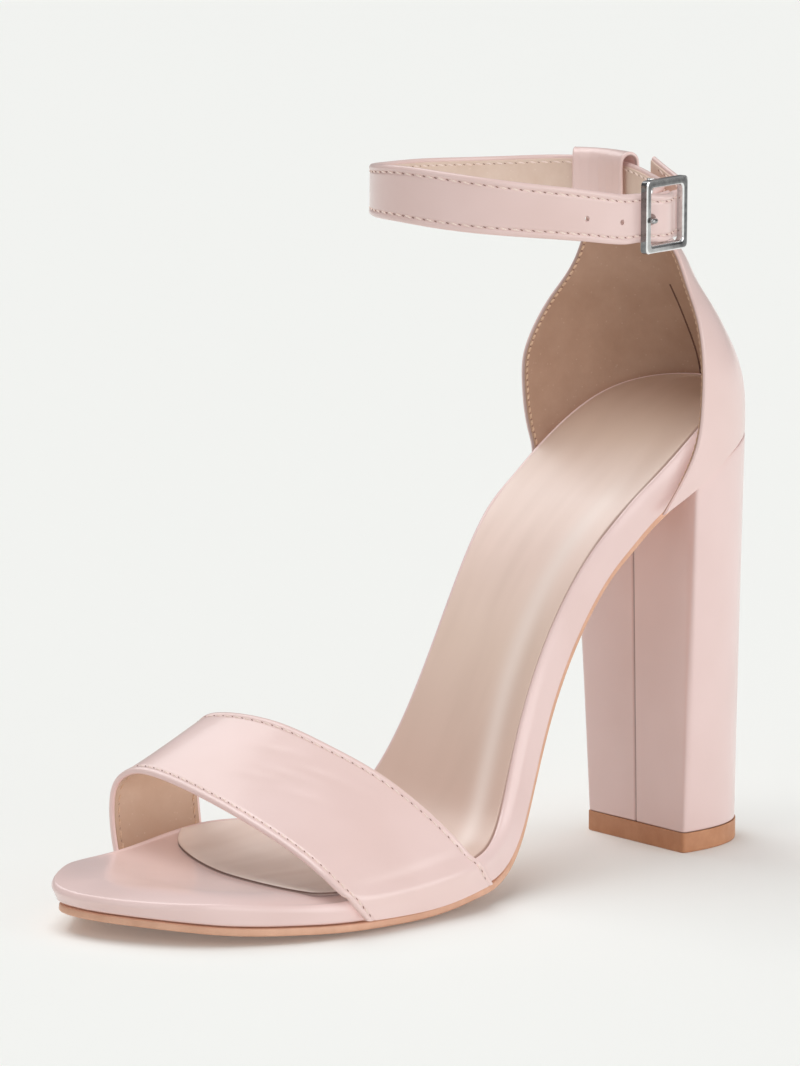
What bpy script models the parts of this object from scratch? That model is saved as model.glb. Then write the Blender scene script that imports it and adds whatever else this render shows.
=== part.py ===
# Left ankle-strap sandal on a tall block heel, fastened, standing empty.
# Frame: +X to the toe, +Y to the wearer's left (the outer side), +Z up, floor at z = 0.
# Tables are in millimetres, x counted forward from the back of the footbed.
import math
import bmesh
import bpy
import numpy as np

MM = 0.001
ORIGIN_X = 100.5          # frame origin, forward of the footbed's back
ORIGIN_Y = -1.75          # and to the inner side of its centre line
GAP = 0.35                # room between pieces that are curved

# Sole
FOOTBED_LENGTH = 203.9
TOE_POINT_Y = -12.3
OUTSOLE = 1.9
SOCK = 0.6
SOCK_INSET = 1.7
SOCK_CORNER = 3.5         # drawn in at its outer front corner, under the vamp
SOCK_FRONT = 162.4        # foremost point of its front edge
SOCK_FRONT_Y = 20.0
SOCK_FRONT_BENDS = (0.0043, 0.017)  # how fast it bends back to the inner and the outer side
SOCK_END_Y = -28.0        # its inner end bends back faster from here
SOCK_END_BEND = 0.08
TOE_DROP = 2.0            # the platform's upper edge is this much lower round the toe
TOE_DROP_WIDTH = 12.0     # and falls away over this width
TOE_DROP_SKEW = 0.35      # beginning further back on the outer side
TOE_DROP_INNER = 0.15     # share of it left on the inner side
TOE_DROP_SIDE = (-30.0, 18.0)  # which passes into the rest from this y, over so much
TOE_CURL = 1.2            # the toe is this much higher on its inner side
TOE_CURL_SIDE = 30.0      # from this far in from the centre line
TIP_FALL = 1.4            # and this much lower on its outer side, the sole thinner there
TIP_FALL_SIDE = (-26.0, 20.0)  # from this y, over
TOE_SLOPE = 0.16          # rise past the end of the profile
OUTER_RISE = 1.0          # the underside is this much higher at the ball's outer edge
BALL_SKEW = 0.16          # the ball line runs forward on the inner side
BALL_HALF = 36.0          # half width at the ball
INNER_LIFT = 6.0          # rise of the inner edge beside the ball
INNER_LIFT_X = 134.0      # highest here, and gone at about twice this length
INNER_LIFT_LENGTH = 24.0
OUTSOLE_BACK = 35.0       # footbed x where the outsole meets the breast
SEAT_INSET = 1.3          # the platform is narrower inside the counter
OUTSOLE_TOE_INSET = 1.9
OUTSOLE_SHANK_INSET = 1.5  # the outsole draws back under the shank's edge

# where one shape of the sole passes into the next: from x, over
BALL_SKEW_RAMP = (50.0, 70.0)
OUTER_RISE_IN = (100.0, 15.0)
OUTER_RISE_OUT = (165.0, 25.0)
TOE_DROP_RAMP = (150.0, 26.0)
TOE_CURL_RAMP = (140.0, 45.0)
TIP_FALL_RAMP = (183.0, 20.0)
TOE_INSET_RAMP = (172.0, 26.0)
SEAT_RAMP = (45.0, 12.0)
SHANK_RAMP = (88.0, 24.0)
SOCK_CORNER_RAMP = (132.0, 18.0)
COUNTER_RAMP = (30.0, 10.0)
# x, thickness of the platform
PLATFORM_DEPTH = (
    (0.0, 10.2),
    (15.0, 10.1),
    (30.0, 9.1),
    (45.0, 8.4),
    (85.0, 8.4),
    (102.0, 7.8),
    (120.0, 7.1),
    (160.0, 7.1),
    (204.0, 7.1),
)
# x, height of the footbed on the centre line
PROFILE = (
    (0.0, 115.7),
    (19.0, 110.2),
    (42.5, 95.0),
    (61.0, 78.8),
    (80.0, 48.9),
    (99.0, 18.9),
    (115.0, 11.9),
    (132.0, 9.4),
    (151.0, 9.2),
    (170.0, 10.2),
    (203.9, 14.2),
)
# x, inner edge y, outer edge y
OUTLINE = (
    (3.8, -12.3, 12.1),
    (13.2, -20.3, 20.3),
    (30.2, -24.6, 24.4),
    (51.9, -24.0, 22.8),
    (80.2, -18.6, 19.4),
    (105.6, -22.2, 31.5),
    (136.0, -34.5, 36.2),
    (160.7, -36.7, 35.6),
    (180.8, -32.3, 27.5),
    (195.5, -22.8, 15.2),
)

# Heel
TIP_HEIGHT = 5.0
HEEL_TURN = -5.0          # degrees about the vertical, toes of the breast inward
HEEL_TURN_X = 23.6
BREAST_BOW = 0.2          # the breast bulges forward by this much
# where, breast x, back x, half width at the breast, roundness of the sides
HEEL_SECTIONS = (
    ("floor", 25.3, -2.6, 18.6, 2.2),
    ("seat", 27.6, -1.1, 25.0, 2.4),
)

# Vamp strap
VAMP_WALL = 1.7
VAMP_UPRIGHT = 1.3        # it stands straight beside the platform up to here
VAMP_LEAN = 3.0           # and may lean in by this much a millimetre above
VAMP_BASE = 0.28          # share of its length that is drawn to its base
# x, y, z along the front edge, from the inner base over to the outer base
VAMP_FRONT = (
    (163.3, -39.0, 6.0),
    (163.3, -41.6, 16.5),
    (163.3, -40.9, 26.0),
    (163.3, -37.3, 29.6),
    (163.3, -31.8, 31.4),
    (163.3, -22.7, 31.2),
    (163.1, -8.4, 28.8),
    (162.8, 9.0, 24.7),
    (162.0, 25.9, 19.1),
    (160.8, 34.6, 14.0),
    (157.0, 38.0, 8.3),
    (152.0, 38.3, 2.4),
)
# x, y, z along the rear edge
VAMP_REAR = (
    (137.0, -37.6, 9.0),
    (137.0, -39.6, 24.0),
    (136.8, -39.2, 35.0),
    (136.5, -36.7, 40.5),
    (136.0, -31.8, 42.3),
    (135.3, -25.2, 42.9),
    (132.9, -13.4, 42.0),
    (129.4, 0.5, 38.0),
    (125.2, 13.5, 32.6),
    (119.8, 26.0, 23.6),
    (113.2, 32.6, 12.6),
    (106.5, 32.4, 3.4),
)

# Counter and its loop
COUNTER_WALL = 1.5
# z, back x, depth of the round back, half width, centre y
COUNTER_SECTIONS = (
    (84.0, -2.0, 32.2, 26.5, 0.0),
    (105.0, -2.0, 32.2, 26.6, 0.0),
    (114.0, -1.6, 32.0, 26.6, 0.0),
    (121.0, 0.4, 31.2, 26.3, 0.0),
    (128.0, 4.0, 30.0, 25.7, -0.3),
    (135.0, 7.9, 28.6, 24.3, -1.0),
    (142.5, 11.8, 27.2, 22.0, -2.4),
    (150.0, 14.6, 26.0, 20.6, -4.6),
    (156.0, 18.4, 25.0, 18.0, -8.0),
)
# z, front edge x on the inner side, front edge x on the outer side
COUNTER_FRONT = (
    (84.0, 45.0, 43.5),
    (90.0, 40.6, 39.2),
    (97.0, 37.6, 34.4),
    (104.0, 39.0, 31.2),
    (114.0, 40.6, 29.6),
    (121.0, 40.6, 29.0),
    (128.0, 37.6, 28.3),
    (135.0, 33.0, 27.2),
    (142.5, 28.2, 25.8),
    (150.0, 25.2, 25.2),
    (156.0, 23.6, 23.6),
)
COUNTER_LIFT = 1.5            # its lower edge rises this much at the front corner
LOOP_POINT = (27.0, -11.0)    # strap's middle inside the loop
LOOP_SHIFT = 0.9              # the loop's middle, from there towards the bar
LOOP_WIDTH = 18.5
LOOP_FOLD_END = 157.6         # lower end of the folded tab

# Ankle strap
STRAP_WIDTH = 13.4
STRAP_WALL = 1.6
# run along the strap from its sewn end, width there
STRAP_WIDTHS = (
    (0.0, 11.6),
    (30.0, 12.0),
    (60.0, 13.0),
    (100.0, 13.0),
    (125.0, 12.5),
    (142.0, 12.4),
    (158.0, 13.4),
    (172.0, 13.9),
    (182.0, 13.6),
    (195.0, 13.0),
    (208.0, 12.6),
    (222.0, 12.2),
    (238.0, 11.6),
    (270.0, 11.7),
)
# x, y, height of the strap's middle, round the ankle from the buckle's bar
STRAP_BACK = (
    (39.2, 20.6, 162.5),
    (33.6, 12.6, 163.1),
    (29.2, 2.0, 163.9),
    (27.0, -11.0, 164.4),
    (31.9, -20.4, 164.6),
    (43.0, -27.0, 164.55),
    (58.4, -30.2, 165.1),
    (72.6, -30.0, 165.95),
    (86.0, -26.5, 166.75),
    (96.9, -20.0, 167.8),
    (104.0, -11.1, 168.6),
    (106.5, -1.0, 169.1),
    (104.0, 9.1, 168.45),
    (96.9, 18.4, 167.15),
    (86.0, 25.3, 165.65),
    (72.6, 29.4, 163.8),
)
STRAP_TAIL = (
    (32.4, 20.4, 162.9),
    (29.4, 13.4, 164.6),
    (27.2, 5.8, 166.8),
)

# a in the buckle's plane, share of the way from under the frame to over the bar, height there
STRAP_WAVE = (
    (14.0, -0.1, 0.0),
    (9.4, 0.0, -0.15),
    (6.8, 0.0, -0.4),
    (3.4, 0.62, -0.7),
    (0.0, 1.0, -0.8),
    (-3.4, 0.62, -0.85),
    (-6.8, 0.0, -0.7),
    (-9.4, 0.0, -0.45),
)
STRAP_EDGE = 0.3          # chamfer

# Buckle, in its own plane: a forward, n outward, up
BUCKLE_POINT = (46.7, 29.3, 162.05)
BUCKLE_TURN = 11.5
BUCKLE_SIZE = 17.8
BUCKLE_BAR = 2.0
BUCKLE_CORNER = 1.2
BUCKLE_DEPTH = 2.0
BAR_RADIUS = 0.8
BAR_SET_BACK = 4.3
PRONG_RADIUS = 0.65
PRONG_DROP = 0.8          # below the frame's middle
PRONG_HOLE = 2.2
# a, n of the prong's middle line, from the bar out to its rest on the frame
PRONG_PATH = (
    (1.15, -4.3),
    (2.8, -3.4),
    (4.3, -1.9),
    (5.25, 0.2),
    (6.25, 1.6),
    (7.6, 1.8),
    (8.5, 1.75),
)


# Curves through the tables
def second_derivatives(t, v, closed):
    n = len(t)
    h = np.diff(t)
    a = np.zeros((n, n))
    r = np.zeros((n,) + v.shape[1:])
    for i in range(1, n - 1):
        a[i, i - 1], a[i, i], a[i, i + 1] = h[i - 1], 2 * (h[i - 1] + h[i]), h[i]
        r[i] = 6 * ((v[i + 1] - v[i]) / h[i] - (v[i] - v[i - 1]) / h[i - 1])
    if closed:
        a[0, 0], a[0, 1] = 2 * (h[-1] + h[0]), h[0]
        a[0, n - 2] = h[-1]
        r[0] = 6 * ((v[1] - v[0]) / h[0] - (v[-1] - v[-2]) / h[-1])
        a[n - 1, 0], a[n - 1, n - 1] = 1.0, -1.0
    else:
        a[0, 0] = a[n - 1, n - 1] = 1.0
    return np.linalg.solve(a, r)


class Spline:
    """Cubic through the rows of a table."""

    def __init__(self, t, v, closed=False):
        self.t = np.asarray(t, float)
        self.v = np.asarray(v, float)
        self.m = second_derivatives(self.t, self.v, closed)

    def __call__(self, s):
        s = np.clip(np.asarray(s, float), self.t[0], self.t[-1])
        i = np.clip(np.searchsorted(self.t, s, side="right") - 1, 0, len(self.t) - 2)
        h = self.t[i + 1] - self.t[i]
        a, b = (self.t[i + 1] - s) / h, (s - self.t[i]) / h
        ca, cb = (a**3 - a) * h * h / 6, (b**3 - b) * h * h / 6
        if self.v.ndim > 1:
            a, b, ca, cb = (k[..., None] for k in (a, b, ca, cb))
        return a * self.v[i] + b * self.v[i + 1] + ca * self.m[i] + cb * self.m[i + 1]


def path_through(points, closed=False):
    p = np.asarray(points, float)
    d = np.sqrt(np.linalg.norm(np.diff(p, axis=0), axis=1))
    t = np.concatenate([[0.0], np.cumsum(d)])
    return Spline(t, p, closed), t


def even(curve, t0, t1, count):
    s = np.linspace(t0, t1, 1201)
    p = curve(s)
    d = np.concatenate([[0.0], np.cumsum(np.linalg.norm(np.diff(p, axis=0), axis=1))])
    return curve(np.interp(np.linspace(0, d[-1], count), d, s))


def smooth(x):
    x = np.clip(x, 0.0, 1.0)
    return x * x * (3 - 2 * x)


def ramp(x, start, over):
    return smooth((x - start) / over)


profile_z = Spline([r[0] for r in PROFILE], [r[1] for r in PROFILE])


def tip_fall(x, y):
    """How much lower the upper face lies at the toe's outer side."""
    return TIP_FALL * ramp(x, *TIP_FALL_RAMP) * ramp(y, *TIP_FALL_SIDE)


def footbed(x, y):
    u = x + BALL_SKEW * y * ramp(x, *BALL_SKEW_RAMP)
    inner = np.clip(-y, 0, None)
    along = np.exp(-(((x - INNER_LIFT_X) / INNER_LIFT_LENGTH) ** 2))
    lift = INNER_LIFT * along * (inner / BALL_HALF) ** 2
    curl = TOE_CURL * ramp(x, *TOE_CURL_RAMP) * ramp(inner, 0.0, TOE_CURL_SIDE)
    over = np.clip(u - FOOTBED_LENGTH, 0, None) * TOE_SLOPE
    return profile_z(u) + lift + curl + over - tip_fall(x, y)


def slope(x, y):
    return footbed(x + 0.5, y) - footbed(x - 0.5, y)


platform_depth = Spline([r[0] for r in PLATFORM_DEPTH], [r[1] for r in PLATFORM_DEPTH])


def underside(x, y):
    """Depth of the platform's underside, which rises to the outer edge beside the ball."""
    beside = (np.clip(y, 0, None) / BALL_HALF) ** 2
    along = ramp(x, *OUTER_RISE_IN) * (1 - ramp(x, *OUTER_RISE_OUT))
    return platform_depth(x) - OUTER_RISE * beside * along - tip_fall(x, y)


def under(x, y, depth):
    """Points the given depth below the footbed, square to it."""
    k = slope(x, y)
    c = 1.0 / np.sqrt(1.0 + k * k)
    return np.stack([x + depth * k * c, y, footbed(x, y) - depth * c], -1)


HALF = 44                 # steps along each side of the outline


def outline():
    rows = [(0.0, 0.0)] + [(r[0], r[2]) for r in OUTLINE] + [(FOOTBED_LENGTH, TOE_POINT_Y)]
    rows += [(r[0], r[1]) for r in reversed(OUTLINE)] + [(0.0, 0.0)]
    curve, t = path_through(rows, closed=True)
    toe = len(OUTLINE) + 1
    outer = even(curve, t[0], t[toe], HALF + 1)
    inner = even(curve, t[toe], t[-1], HALF + 1)
    return np.concatenate([outer, inner[1:-1]])


RIM = outline()


def side_normals(ring):
    d = np.roll(ring, -1, axis=0) - np.roll(ring, 1, axis=0)
    n = np.stack([d[:, 1], -d[:, 0]], -1)
    n /= np.linalg.norm(n, axis=1)[:, None]
    return -n


INWARD = side_normals(RIM)
if ((np.mean(RIM, axis=0) - RIM) * INWARD).sum() < 0:
    INWARD = -INWARD


def inset(by, more_at_toe=0.0, more_at_shank=0.0):
    d = by + more_at_toe * ramp(RIM[:, 0], *TOE_INSET_RAMP)
    d = d + SEAT_INSET * (1 - ramp(RIM[:, 0], *SEAT_RAMP))
    d = d + more_at_shank * (1 - ramp(RIM[:, 0], *SHANK_RAMP))
    return RIM + INWARD * d[:, None]


def edge_y(x, outer):
    """Outline y at x, on one side."""
    side = RIM[: HALF + 1] if outer else np.concatenate([RIM[HALF:], RIM[:1]])[::-1]
    return np.interp(x, side[:, 0], side[:, 1])


# Meshes
def new_object(name, bm, colour, rough, metal=0.0):
    bmesh.ops.recalc_face_normals(bm, faces=bm.faces)
    mesh = bpy.data.meshes.new(name)
    bm.to_mesh(mesh)
    bm.free()
    mat = bpy.data.materials.new(name + "_material")
    mat.use_nodes = True
    shader = next(n for n in mat.node_tree.nodes if n.type == "BSDF_PRINCIPLED")
    shader.inputs["Base Color"].default_value = (*colour, 1.0)
    shader.inputs["Roughness"].default_value = rough
    shader.inputs["Metallic"].default_value = metal
    mesh.materials.append(mat)
    obj = bpy.data.objects.new(name, mesh)
    bpy.context.scene.collection.objects.link(obj)
    return obj


def place(bm, p):
    return bm.verts.new(((p[0] - ORIGIN_X) * MM, (p[1] - ORIGIN_Y) * MM, p[2] * MM))


def bridge(bm, a, b):
    for i in range(len(a)):
        j = (i + 1) % len(a)
        bm.faces.new((a[i], a[j], b[j], b[i]))


def close_ring(bm, ring, points, across):
    """Fill a ring whose first and middle points are its two ends."""
    n = len(ring)
    half = n // 2
    rows = []
    for i in range(1, half):
        left, right = ring[i], ring[n - i]
        row = [left]
        for k in range(1, across):
            row.append(place(bm, points(i, k / across)))
        row.append(right)
        rows.append(row)
    for a, b in zip(rows[:-1], rows[1:]):
        for k in range(across):
            bm.faces.new((a[k], b[k], b[k + 1], a[k + 1]))
    for end, row in ((ring[0], rows[0]), (ring[half], rows[-1])):
        for k in range(across):
            bm.faces.new((end, row[k], row[k + 1]))


def slab(name, layers, top_across, bottom_across, colour, rough):
    """Closed solid from stacked rings; each layer is (flat ring, depth, floor)."""
    bm = bmesh.new()
    rings = []
    for flat, depth, low in layers:
        p = under(flat[:, 0], flat[:, 1], depth(*flat.T))
        p[:, 2] = np.maximum(p[:, 2], low)
        rings.append([place(bm, q) for q in p])
    for a, b in zip(rings[:-1], rings[1:]):
        bridge(bm, a, b)

    def filler(layer):
        flat, depth, low = layer

        def points(i, f):
            q = flat[i] * (1 - f) + flat[len(flat) - i] * f
            p = under(q[0], q[1], depth(*q))
            return (p[0], p[1], max(p[2], low))

        return points

    close_ring(bm, rings[0], filler(layers[0]), top_across)
    close_ring(bm, rings[-1], filler(layers[-1]), bottom_across)
    return new_object(name, bm, colour, rough)


def sheet(name, face, wall, colour, rough):
    """Closed solid from a grid of points on its outer face, thickened inward."""
    rows, cols = face.shape[:2]
    du = np.gradient(face, axis=0)
    dv = np.gradient(face, axis=1)
    n = np.cross(du, dv)
    n /= np.linalg.norm(n, axis=2)[..., None]
    back = face - n * wall
    bm = bmesh.new()
    a = [[place(bm, face[i, j]) for j in range(cols)] for i in range(rows)]
    b = [[place(bm, back[i, j]) for j in range(cols)] for i in range(rows)]
    for i in range(rows - 1):
        for j in range(cols - 1):
            bm.faces.new((a[i][j], a[i][j + 1], a[i + 1][j + 1], a[i + 1][j]))
            bm.faces.new((b[i][j], b[i + 1][j], b[i + 1][j + 1], b[i][j + 1]))
    for i in range(rows - 1):
        bm.faces.new((a[i][0], a[i + 1][0], b[i + 1][0], b[i][0]))
        bm.faces.new((a[i + 1][-1], a[i][-1], b[i][-1], b[i + 1][-1]))
    for j in range(cols - 1):
        bm.faces.new((a[0][j + 1], a[0][j], b[0][j], b[0][j + 1]))
        bm.faces.new((a[-1][j], a[-1][j + 1], b[-1][j + 1], b[-1][j]))
    return new_object(name, bm, colour, rough)


PINK = (0.80, 0.58, 0.55)
BEIGE = (0.66, 0.52, 0.42)
TAN = (0.42, 0.24, 0.13)
METAL = (0.75, 0.75, 0.76)

for old in list(bpy.data.objects):
    bpy.data.objects.remove(old)

BELOW_FLOOR = -1.0        # no lower limit

# Platform, its upper edge rounded down at the toe
def level(depth):
    return lambda x, y: depth + 0.0 * x


def toe_edge(depth, by):
    drop = TOE_DROP * (1 - by / TOE_DROP_WIDTH) ** 2

    def at(x, y):
        across = TOE_DROP_INNER + (1 - TOE_DROP_INNER) * ramp(y, *TOE_DROP_SIDE)
        return depth + drop * across * ramp(x + TOE_DROP_SKEW * y, *TOE_DROP_RAMP)

    return at


def from_below(rise):
    return lambda x, y: underside(x, y) - rise


platform = slab(
    "platform",
    [
        (inset(TOE_DROP_WIDTH), level(0.0), BELOW_FLOOR),
        (inset(7.5), toe_edge(0.0, 7.5), BELOW_FLOOR),
        (inset(2.8), toe_edge(0.0, 2.8), BELOW_FLOOR),
        (inset(0.7), toe_edge(0.6, 0.7), BELOW_FLOOR),
        (inset(0.0), toe_edge(2.2, 0.0), BELOW_FLOOR),
        (inset(0.3, 1.1), from_below(0.8), BELOW_FLOOR),
        (inset(1.1, 1.7), from_below(0.0), BELOW_FLOOR),
    ],
    6, 4, PINK, 0.35,
)


# Outsole, cut off at the heel breast
def outsole_ring(by):
    r = inset(by, OUTSOLE_TOE_INSET, OUTSOLE_SHANK_INSET)
    r[:, 0] = np.maximum(r[:, 0], OUTSOLE_BACK - math.tan(math.radians(HEEL_TURN)) * r[:, 1])
    return r


def outsole_depth(below):
    return from_below(-GAP - below)


outsole = slab(
    "outsole",
    [
        (outsole_ring(0.7), outsole_depth(0.0), BELOW_FLOOR),
        (outsole_ring(0.2), outsole_depth(0.4), BELOW_FLOOR),
        (outsole_ring(0.2), outsole_depth(OUTSOLE - 0.5), BELOW_FLOOR),
        (outsole_ring(0.7), outsole_depth(OUTSOLE), 0.0),
    ],
    4, 4, TAN, 0.5,
)


# Sock, with its curved front edge
def sock_front(y):
    bend = np.where(y < SOCK_FRONT_Y, *SOCK_FRONT_BENDS)
    corner = SOCK_END_BEND * np.clip(SOCK_END_Y - y, 0, None) ** 2
    return SOCK_FRONT - bend * (y - SOCK_FRONT_Y) ** 2 - corner


def sock_ring(by):
    corner = SOCK_CORNER * ramp(RIM[:, 0], *SOCK_CORNER_RAMP) * (RIM[:, 1] > 0)
    r = inset(SOCK_INSET + by + corner)
    r[:, 0] = np.minimum(r[:, 0], sock_front(r[:, 1]) - by)
    return r


insole = slab(
    "insole",
    [
        (sock_ring(0.3), level(-GAP - SOCK), BELOW_FLOOR),
        (sock_ring(0.0), level(-GAP - SOCK + 0.3), BELOW_FLOOR),
        (sock_ring(0.0), level(-GAP), BELOW_FLOOR),
    ],
    6, 6, BEIGE, 0.6,
)


# Heel block and its tip
def seat_height(x):
    """Underside of the platform on the centre line."""
    u = np.linspace(-4.0, 90.0, 400)
    p = under(u, 0 * u, platform_depth(u))
    return np.interp(x, p[:, 0], p[:, 2])


def heel_ring(breast, back, half, power):
    side = []
    steps = 20
    for i in range(steps + 1):
        s = math.sin(math.pi / 2 * (1 - i / steps))
        x = breast - (breast - back) * s
        side.append((x, half * math.sqrt(max(0.0, 1 - s**power))))
    front = [(breast + BREAST_BOW * (1 - f * f), half * f) for f in (0.75, 0.5, 0.25)]
    upper = side + front
    ring = upper + [(breast + BREAST_BOW, 0.0)] + [(x, -y) for x, y in reversed(upper[1:])]
    c, s = math.cos(math.radians(HEEL_TURN)), math.sin(math.radians(HEEL_TURN))
    return np.array([
        (HEEL_TURN_X + (x - HEEL_TURN_X) * c - y * s, (x - HEEL_TURN_X) * s + y * c)
        for x, y in ring
    ])


low_ring = heel_ring(*HEEL_SECTIONS[0][1:])
seat_ring = heel_ring(*HEEL_SECTIONS[1][1:])


def build_heel():
    bm = bmesh.new()
    top_z = seat_height(seat_ring[:, 0]) - GAP
    rings = []
    for f in np.linspace(0.0, 1.0, 4):
        xy = low_ring * (1 - f) + seat_ring * f
        z = TIP_HEIGHT * (1 - f) + top_z * f
        rings.append([place(bm, (p[0], p[1], q)) for p, q in zip(xy, z)])
    for a, b in zip(rings[:-1], rings[1:]):
        bridge(bm, a, b)
    n = len(low_ring)

    def bottom(i, f):
        q = low_ring[i] * (1 - f) + low_ring[n - i] * f
        return (q[0], q[1], TIP_HEIGHT)

    def top(i, f):
        q = seat_ring[i] * (1 - f) + seat_ring[n - i] * f
        return (q[0], q[1], float(seat_height(q[0])) - GAP)

    close_ring(bm, rings[0], bottom, 2)
    close_ring(bm, rings[-1], top, 4)
    return new_object("heel", bm, PINK, 0.35)


def build_tip():
    bm = bmesh.new()
    n = len(low_ring)
    rings = []
    for z in (0.0, TIP_HEIGHT):
        rings.append([place(bm, (p[0], p[1], z)) for p in low_ring])
    bridge(bm, rings[0], rings[1])
    for ring, z in zip(rings, (0.0, TIP_HEIGHT)):
        close_ring(bm, ring, lambda i, f, z=z: (*(low_ring[i] * (1 - f) + low_ring[n - i] * f), z), 2)
    return new_object("heel_tip", bm, TAN, 0.5)


heel = build_heel()
heel_tip = build_tip()


# Vamp strap
def base_point(x, outer):
    y = float(edge_y(x, outer))
    out = 1.0 if outer else -1.0
    foot = under(np.array(x), np.array(y), underside(x, y))
    return np.array([x, y + out * (VAMP_WALL + GAP), float(foot[2]) + 0.35])


def vamp_face(across, along):
    front, tf = path_through(VAMP_FRONT)
    rear, tr = path_through(VAMP_REAR)
    f = even(front, tf[0], tf[-1], across)
    r = even(rear, tr[0], tr[-1], across)
    s = np.linspace(0, 1, across)
    near_inner = np.clip(1 - s / VAMP_BASE, 0, 1) ** 2
    near_outer = np.clip(1 - (1 - s) / VAMP_BASE, 0, 1) ** 2
    grid = np.zeros((across, along, 3))
    for j, v in enumerate(np.linspace(0, 1, along)):
        row = f * (1 - v) + r * v
        inner = base_point(VAMP_FRONT[0][0] * (1 - v) + VAMP_REAR[0][0] * v, False)
        outer = base_point(VAMP_FRONT[-1][0] * (1 - v) + VAMP_REAR[-1][0] * v, True)
        row = row + near_inner[:, None] * (inner - row[0]) + near_outer[:, None] * (outer - row[-1])
        for p in row:
            out = 1.0 if p[1] > 0 else -1.0
            rim = float(edge_y(p[0], out > 0))
            above = max(0.0, p[2] - float(footbed(p[0], rim)) - VAMP_UPRIGHT)
            reach = abs(rim) + GAP + VAMP_WALL - VAMP_LEAN * above
            p[1] = out * max(abs(p[1]), reach)
        grid[:, j] = row
    return grid


vamp_strap = sheet("vamp_strap", vamp_face(45, 9), VAMP_WALL, PINK, 0.35)


# Buckle
turn = math.radians(BUCKLE_TURN)
B_FORWARD = np.array([math.cos(turn), math.sin(turn), 0.0])
B_OUT = np.array([-math.sin(turn), math.cos(turn), 0.0])
B_UP = np.array([0.0, 0.0, 1.0])


def at_buckle(a, n, z=0.0):
    return np.array(BUCKLE_POINT) + B_FORWARD * a + B_OUT * n + B_UP * z


def ring_solid(bm, outer, inner, n0, n1):
    loops = []
    for pts, n in ((outer, n0), (outer, n1), (inner, n1), (inner, n0)):
        loops.append([place(bm, at_buckle(a, n, z)) for a, z in pts])
    for a, b in zip(loops, loops[1:] + loops[:1]):
        bridge(bm, a, b)


def rounded_square(half, radius, steps=4):
    pts = []
    for q in range(4):
        cx = (half - radius) * (1 if q in (0, 3) else -1)
        cz = (half - radius) * (1 if q in (0, 1) else -1)
        for k in range(steps + 1):
            t = math.pi / 2 * (q + k / steps)
            pts.append((cx + radius * math.cos(t), cz + radius * math.sin(t)))
    return pts


def block(bm, a0, a1, n0, n1, z0, z1):
    v = [place(bm, at_buckle(a, n, z)) for z in (z0, z1) for n in (n0, n1) for a in (a0, a1)]
    for f in ((0, 1, 3, 2), (4, 6, 7, 5), (0, 4, 5, 1), (2, 3, 7, 6), (0, 2, 6, 4), (1, 5, 7, 3)):
        bm.faces.new([v[i] for i in f])


def build_frame():
    half = BUCKLE_SIZE / 2
    bm = bmesh.new()
    outer, inner = (rounded_square(h, BUCKLE_CORNER) for h in (half, half - BUCKLE_BAR))
    ring_solid(bm, outer, inner, -BUCKLE_DEPTH / 2, BUCKLE_DEPTH / 2)
    frame = new_object("buckle_frame", bm, METAL, 0.2, 1.0)
    bm = bmesh.new()
    reach = half - BUCKLE_BAR + 0.1
    edge = half - 0.4
    low, high = -BAR_SET_BACK - BAR_RADIUS, -BAR_SET_BACK + BAR_RADIUS
    inside = -BUCKLE_DEPTH / 4
    profile_u = [(-edge, inside), (-edge, low), (edge, low), (edge, inside)]
    profile_u += [(reach, inside), (reach, high), (-reach, high), (-reach, inside)]
    sides = [[place(bm, at_buckle(a, n, z)) for z, n in profile_u] for a in (-BAR_RADIUS, BAR_RADIUS)]
    bridge(bm, sides[0], sides[1])
    for s in sides:
        bm.faces.new((s[0], s[1], s[6], s[7]))
        bm.faces.new((s[1], s[2], s[5], s[6]))
        bm.faces.new((s[2], s[3], s[4], s[5]))
    yoke = new_object("buckle_yoke", bm, METAL, 0.2, 1.0)
    yoke.hide_render = True
    yoke.display_type = "WIRE"
    join = frame.modifiers.new("bar", "BOOLEAN")
    join.operation = "UNION"
    join.solver = "EXACT"
    join.object = yoke
    return frame


buckle_frame = build_frame()


# Ankle strap: hook round the bar, round the ankle, over the bar and on to its end
def strap_path():
    bar = -BAR_SET_BACK
    hook = BAR_RADIUS * 1.4142 + 0.2 + STRAP_WALL / 2
    loop = [(-7.0, 0.75), (-3.6, hook - 0.35)]
    for k in range(7):
        t = math.pi / 2 - math.pi * k / 6
        loop.append((hook * math.cos(t), hook * math.sin(t)))
    loop.append((-3.6, -hook - 0.1))
    start = [at_buckle(a, bar + n, -PRONG_DROP) for a, n in loop]
    over = bar + hook + STRAP_WALL + 0.35
    below = -BUCKLE_DEPTH / 2 - STRAP_WALL / 2 - 0.35
    end = [at_buckle(a, below + f * (over - below), z) for a, f, z in STRAP_WAVE]
    return start, [np.array(p) for p in STRAP_BACK], end, [np.array(p) for p in STRAP_TAIL]


def strap_line():
    start, back, end, tail = strap_path()
    curve, t = path_through(start + back + end + tail)
    hook_end = t[len(start) - 1]
    buckle_in = t[len(start) + len(back)]
    near = even(curve, t[0], hook_end, 22)
    around = even(curve, hook_end, buckle_in, 66)
    far = even(curve, buckle_in, t[-1], 30)
    mid = np.concatenate([near, around[1:], far[1:]])
    d = np.gradient(mid, axis=0)
    n = np.stack([d[:, 1], -d[:, 0], 0 * d[:, 0]], -1)
    return mid, n / np.linalg.norm(n, axis=1)[:, None]


STRAP_LINE, STRAP_OUT = strap_line()
STRAP_RUN = np.concatenate([[0.0], np.cumsum(np.linalg.norm(np.diff(STRAP_LINE, axis=0), axis=1))])


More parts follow.
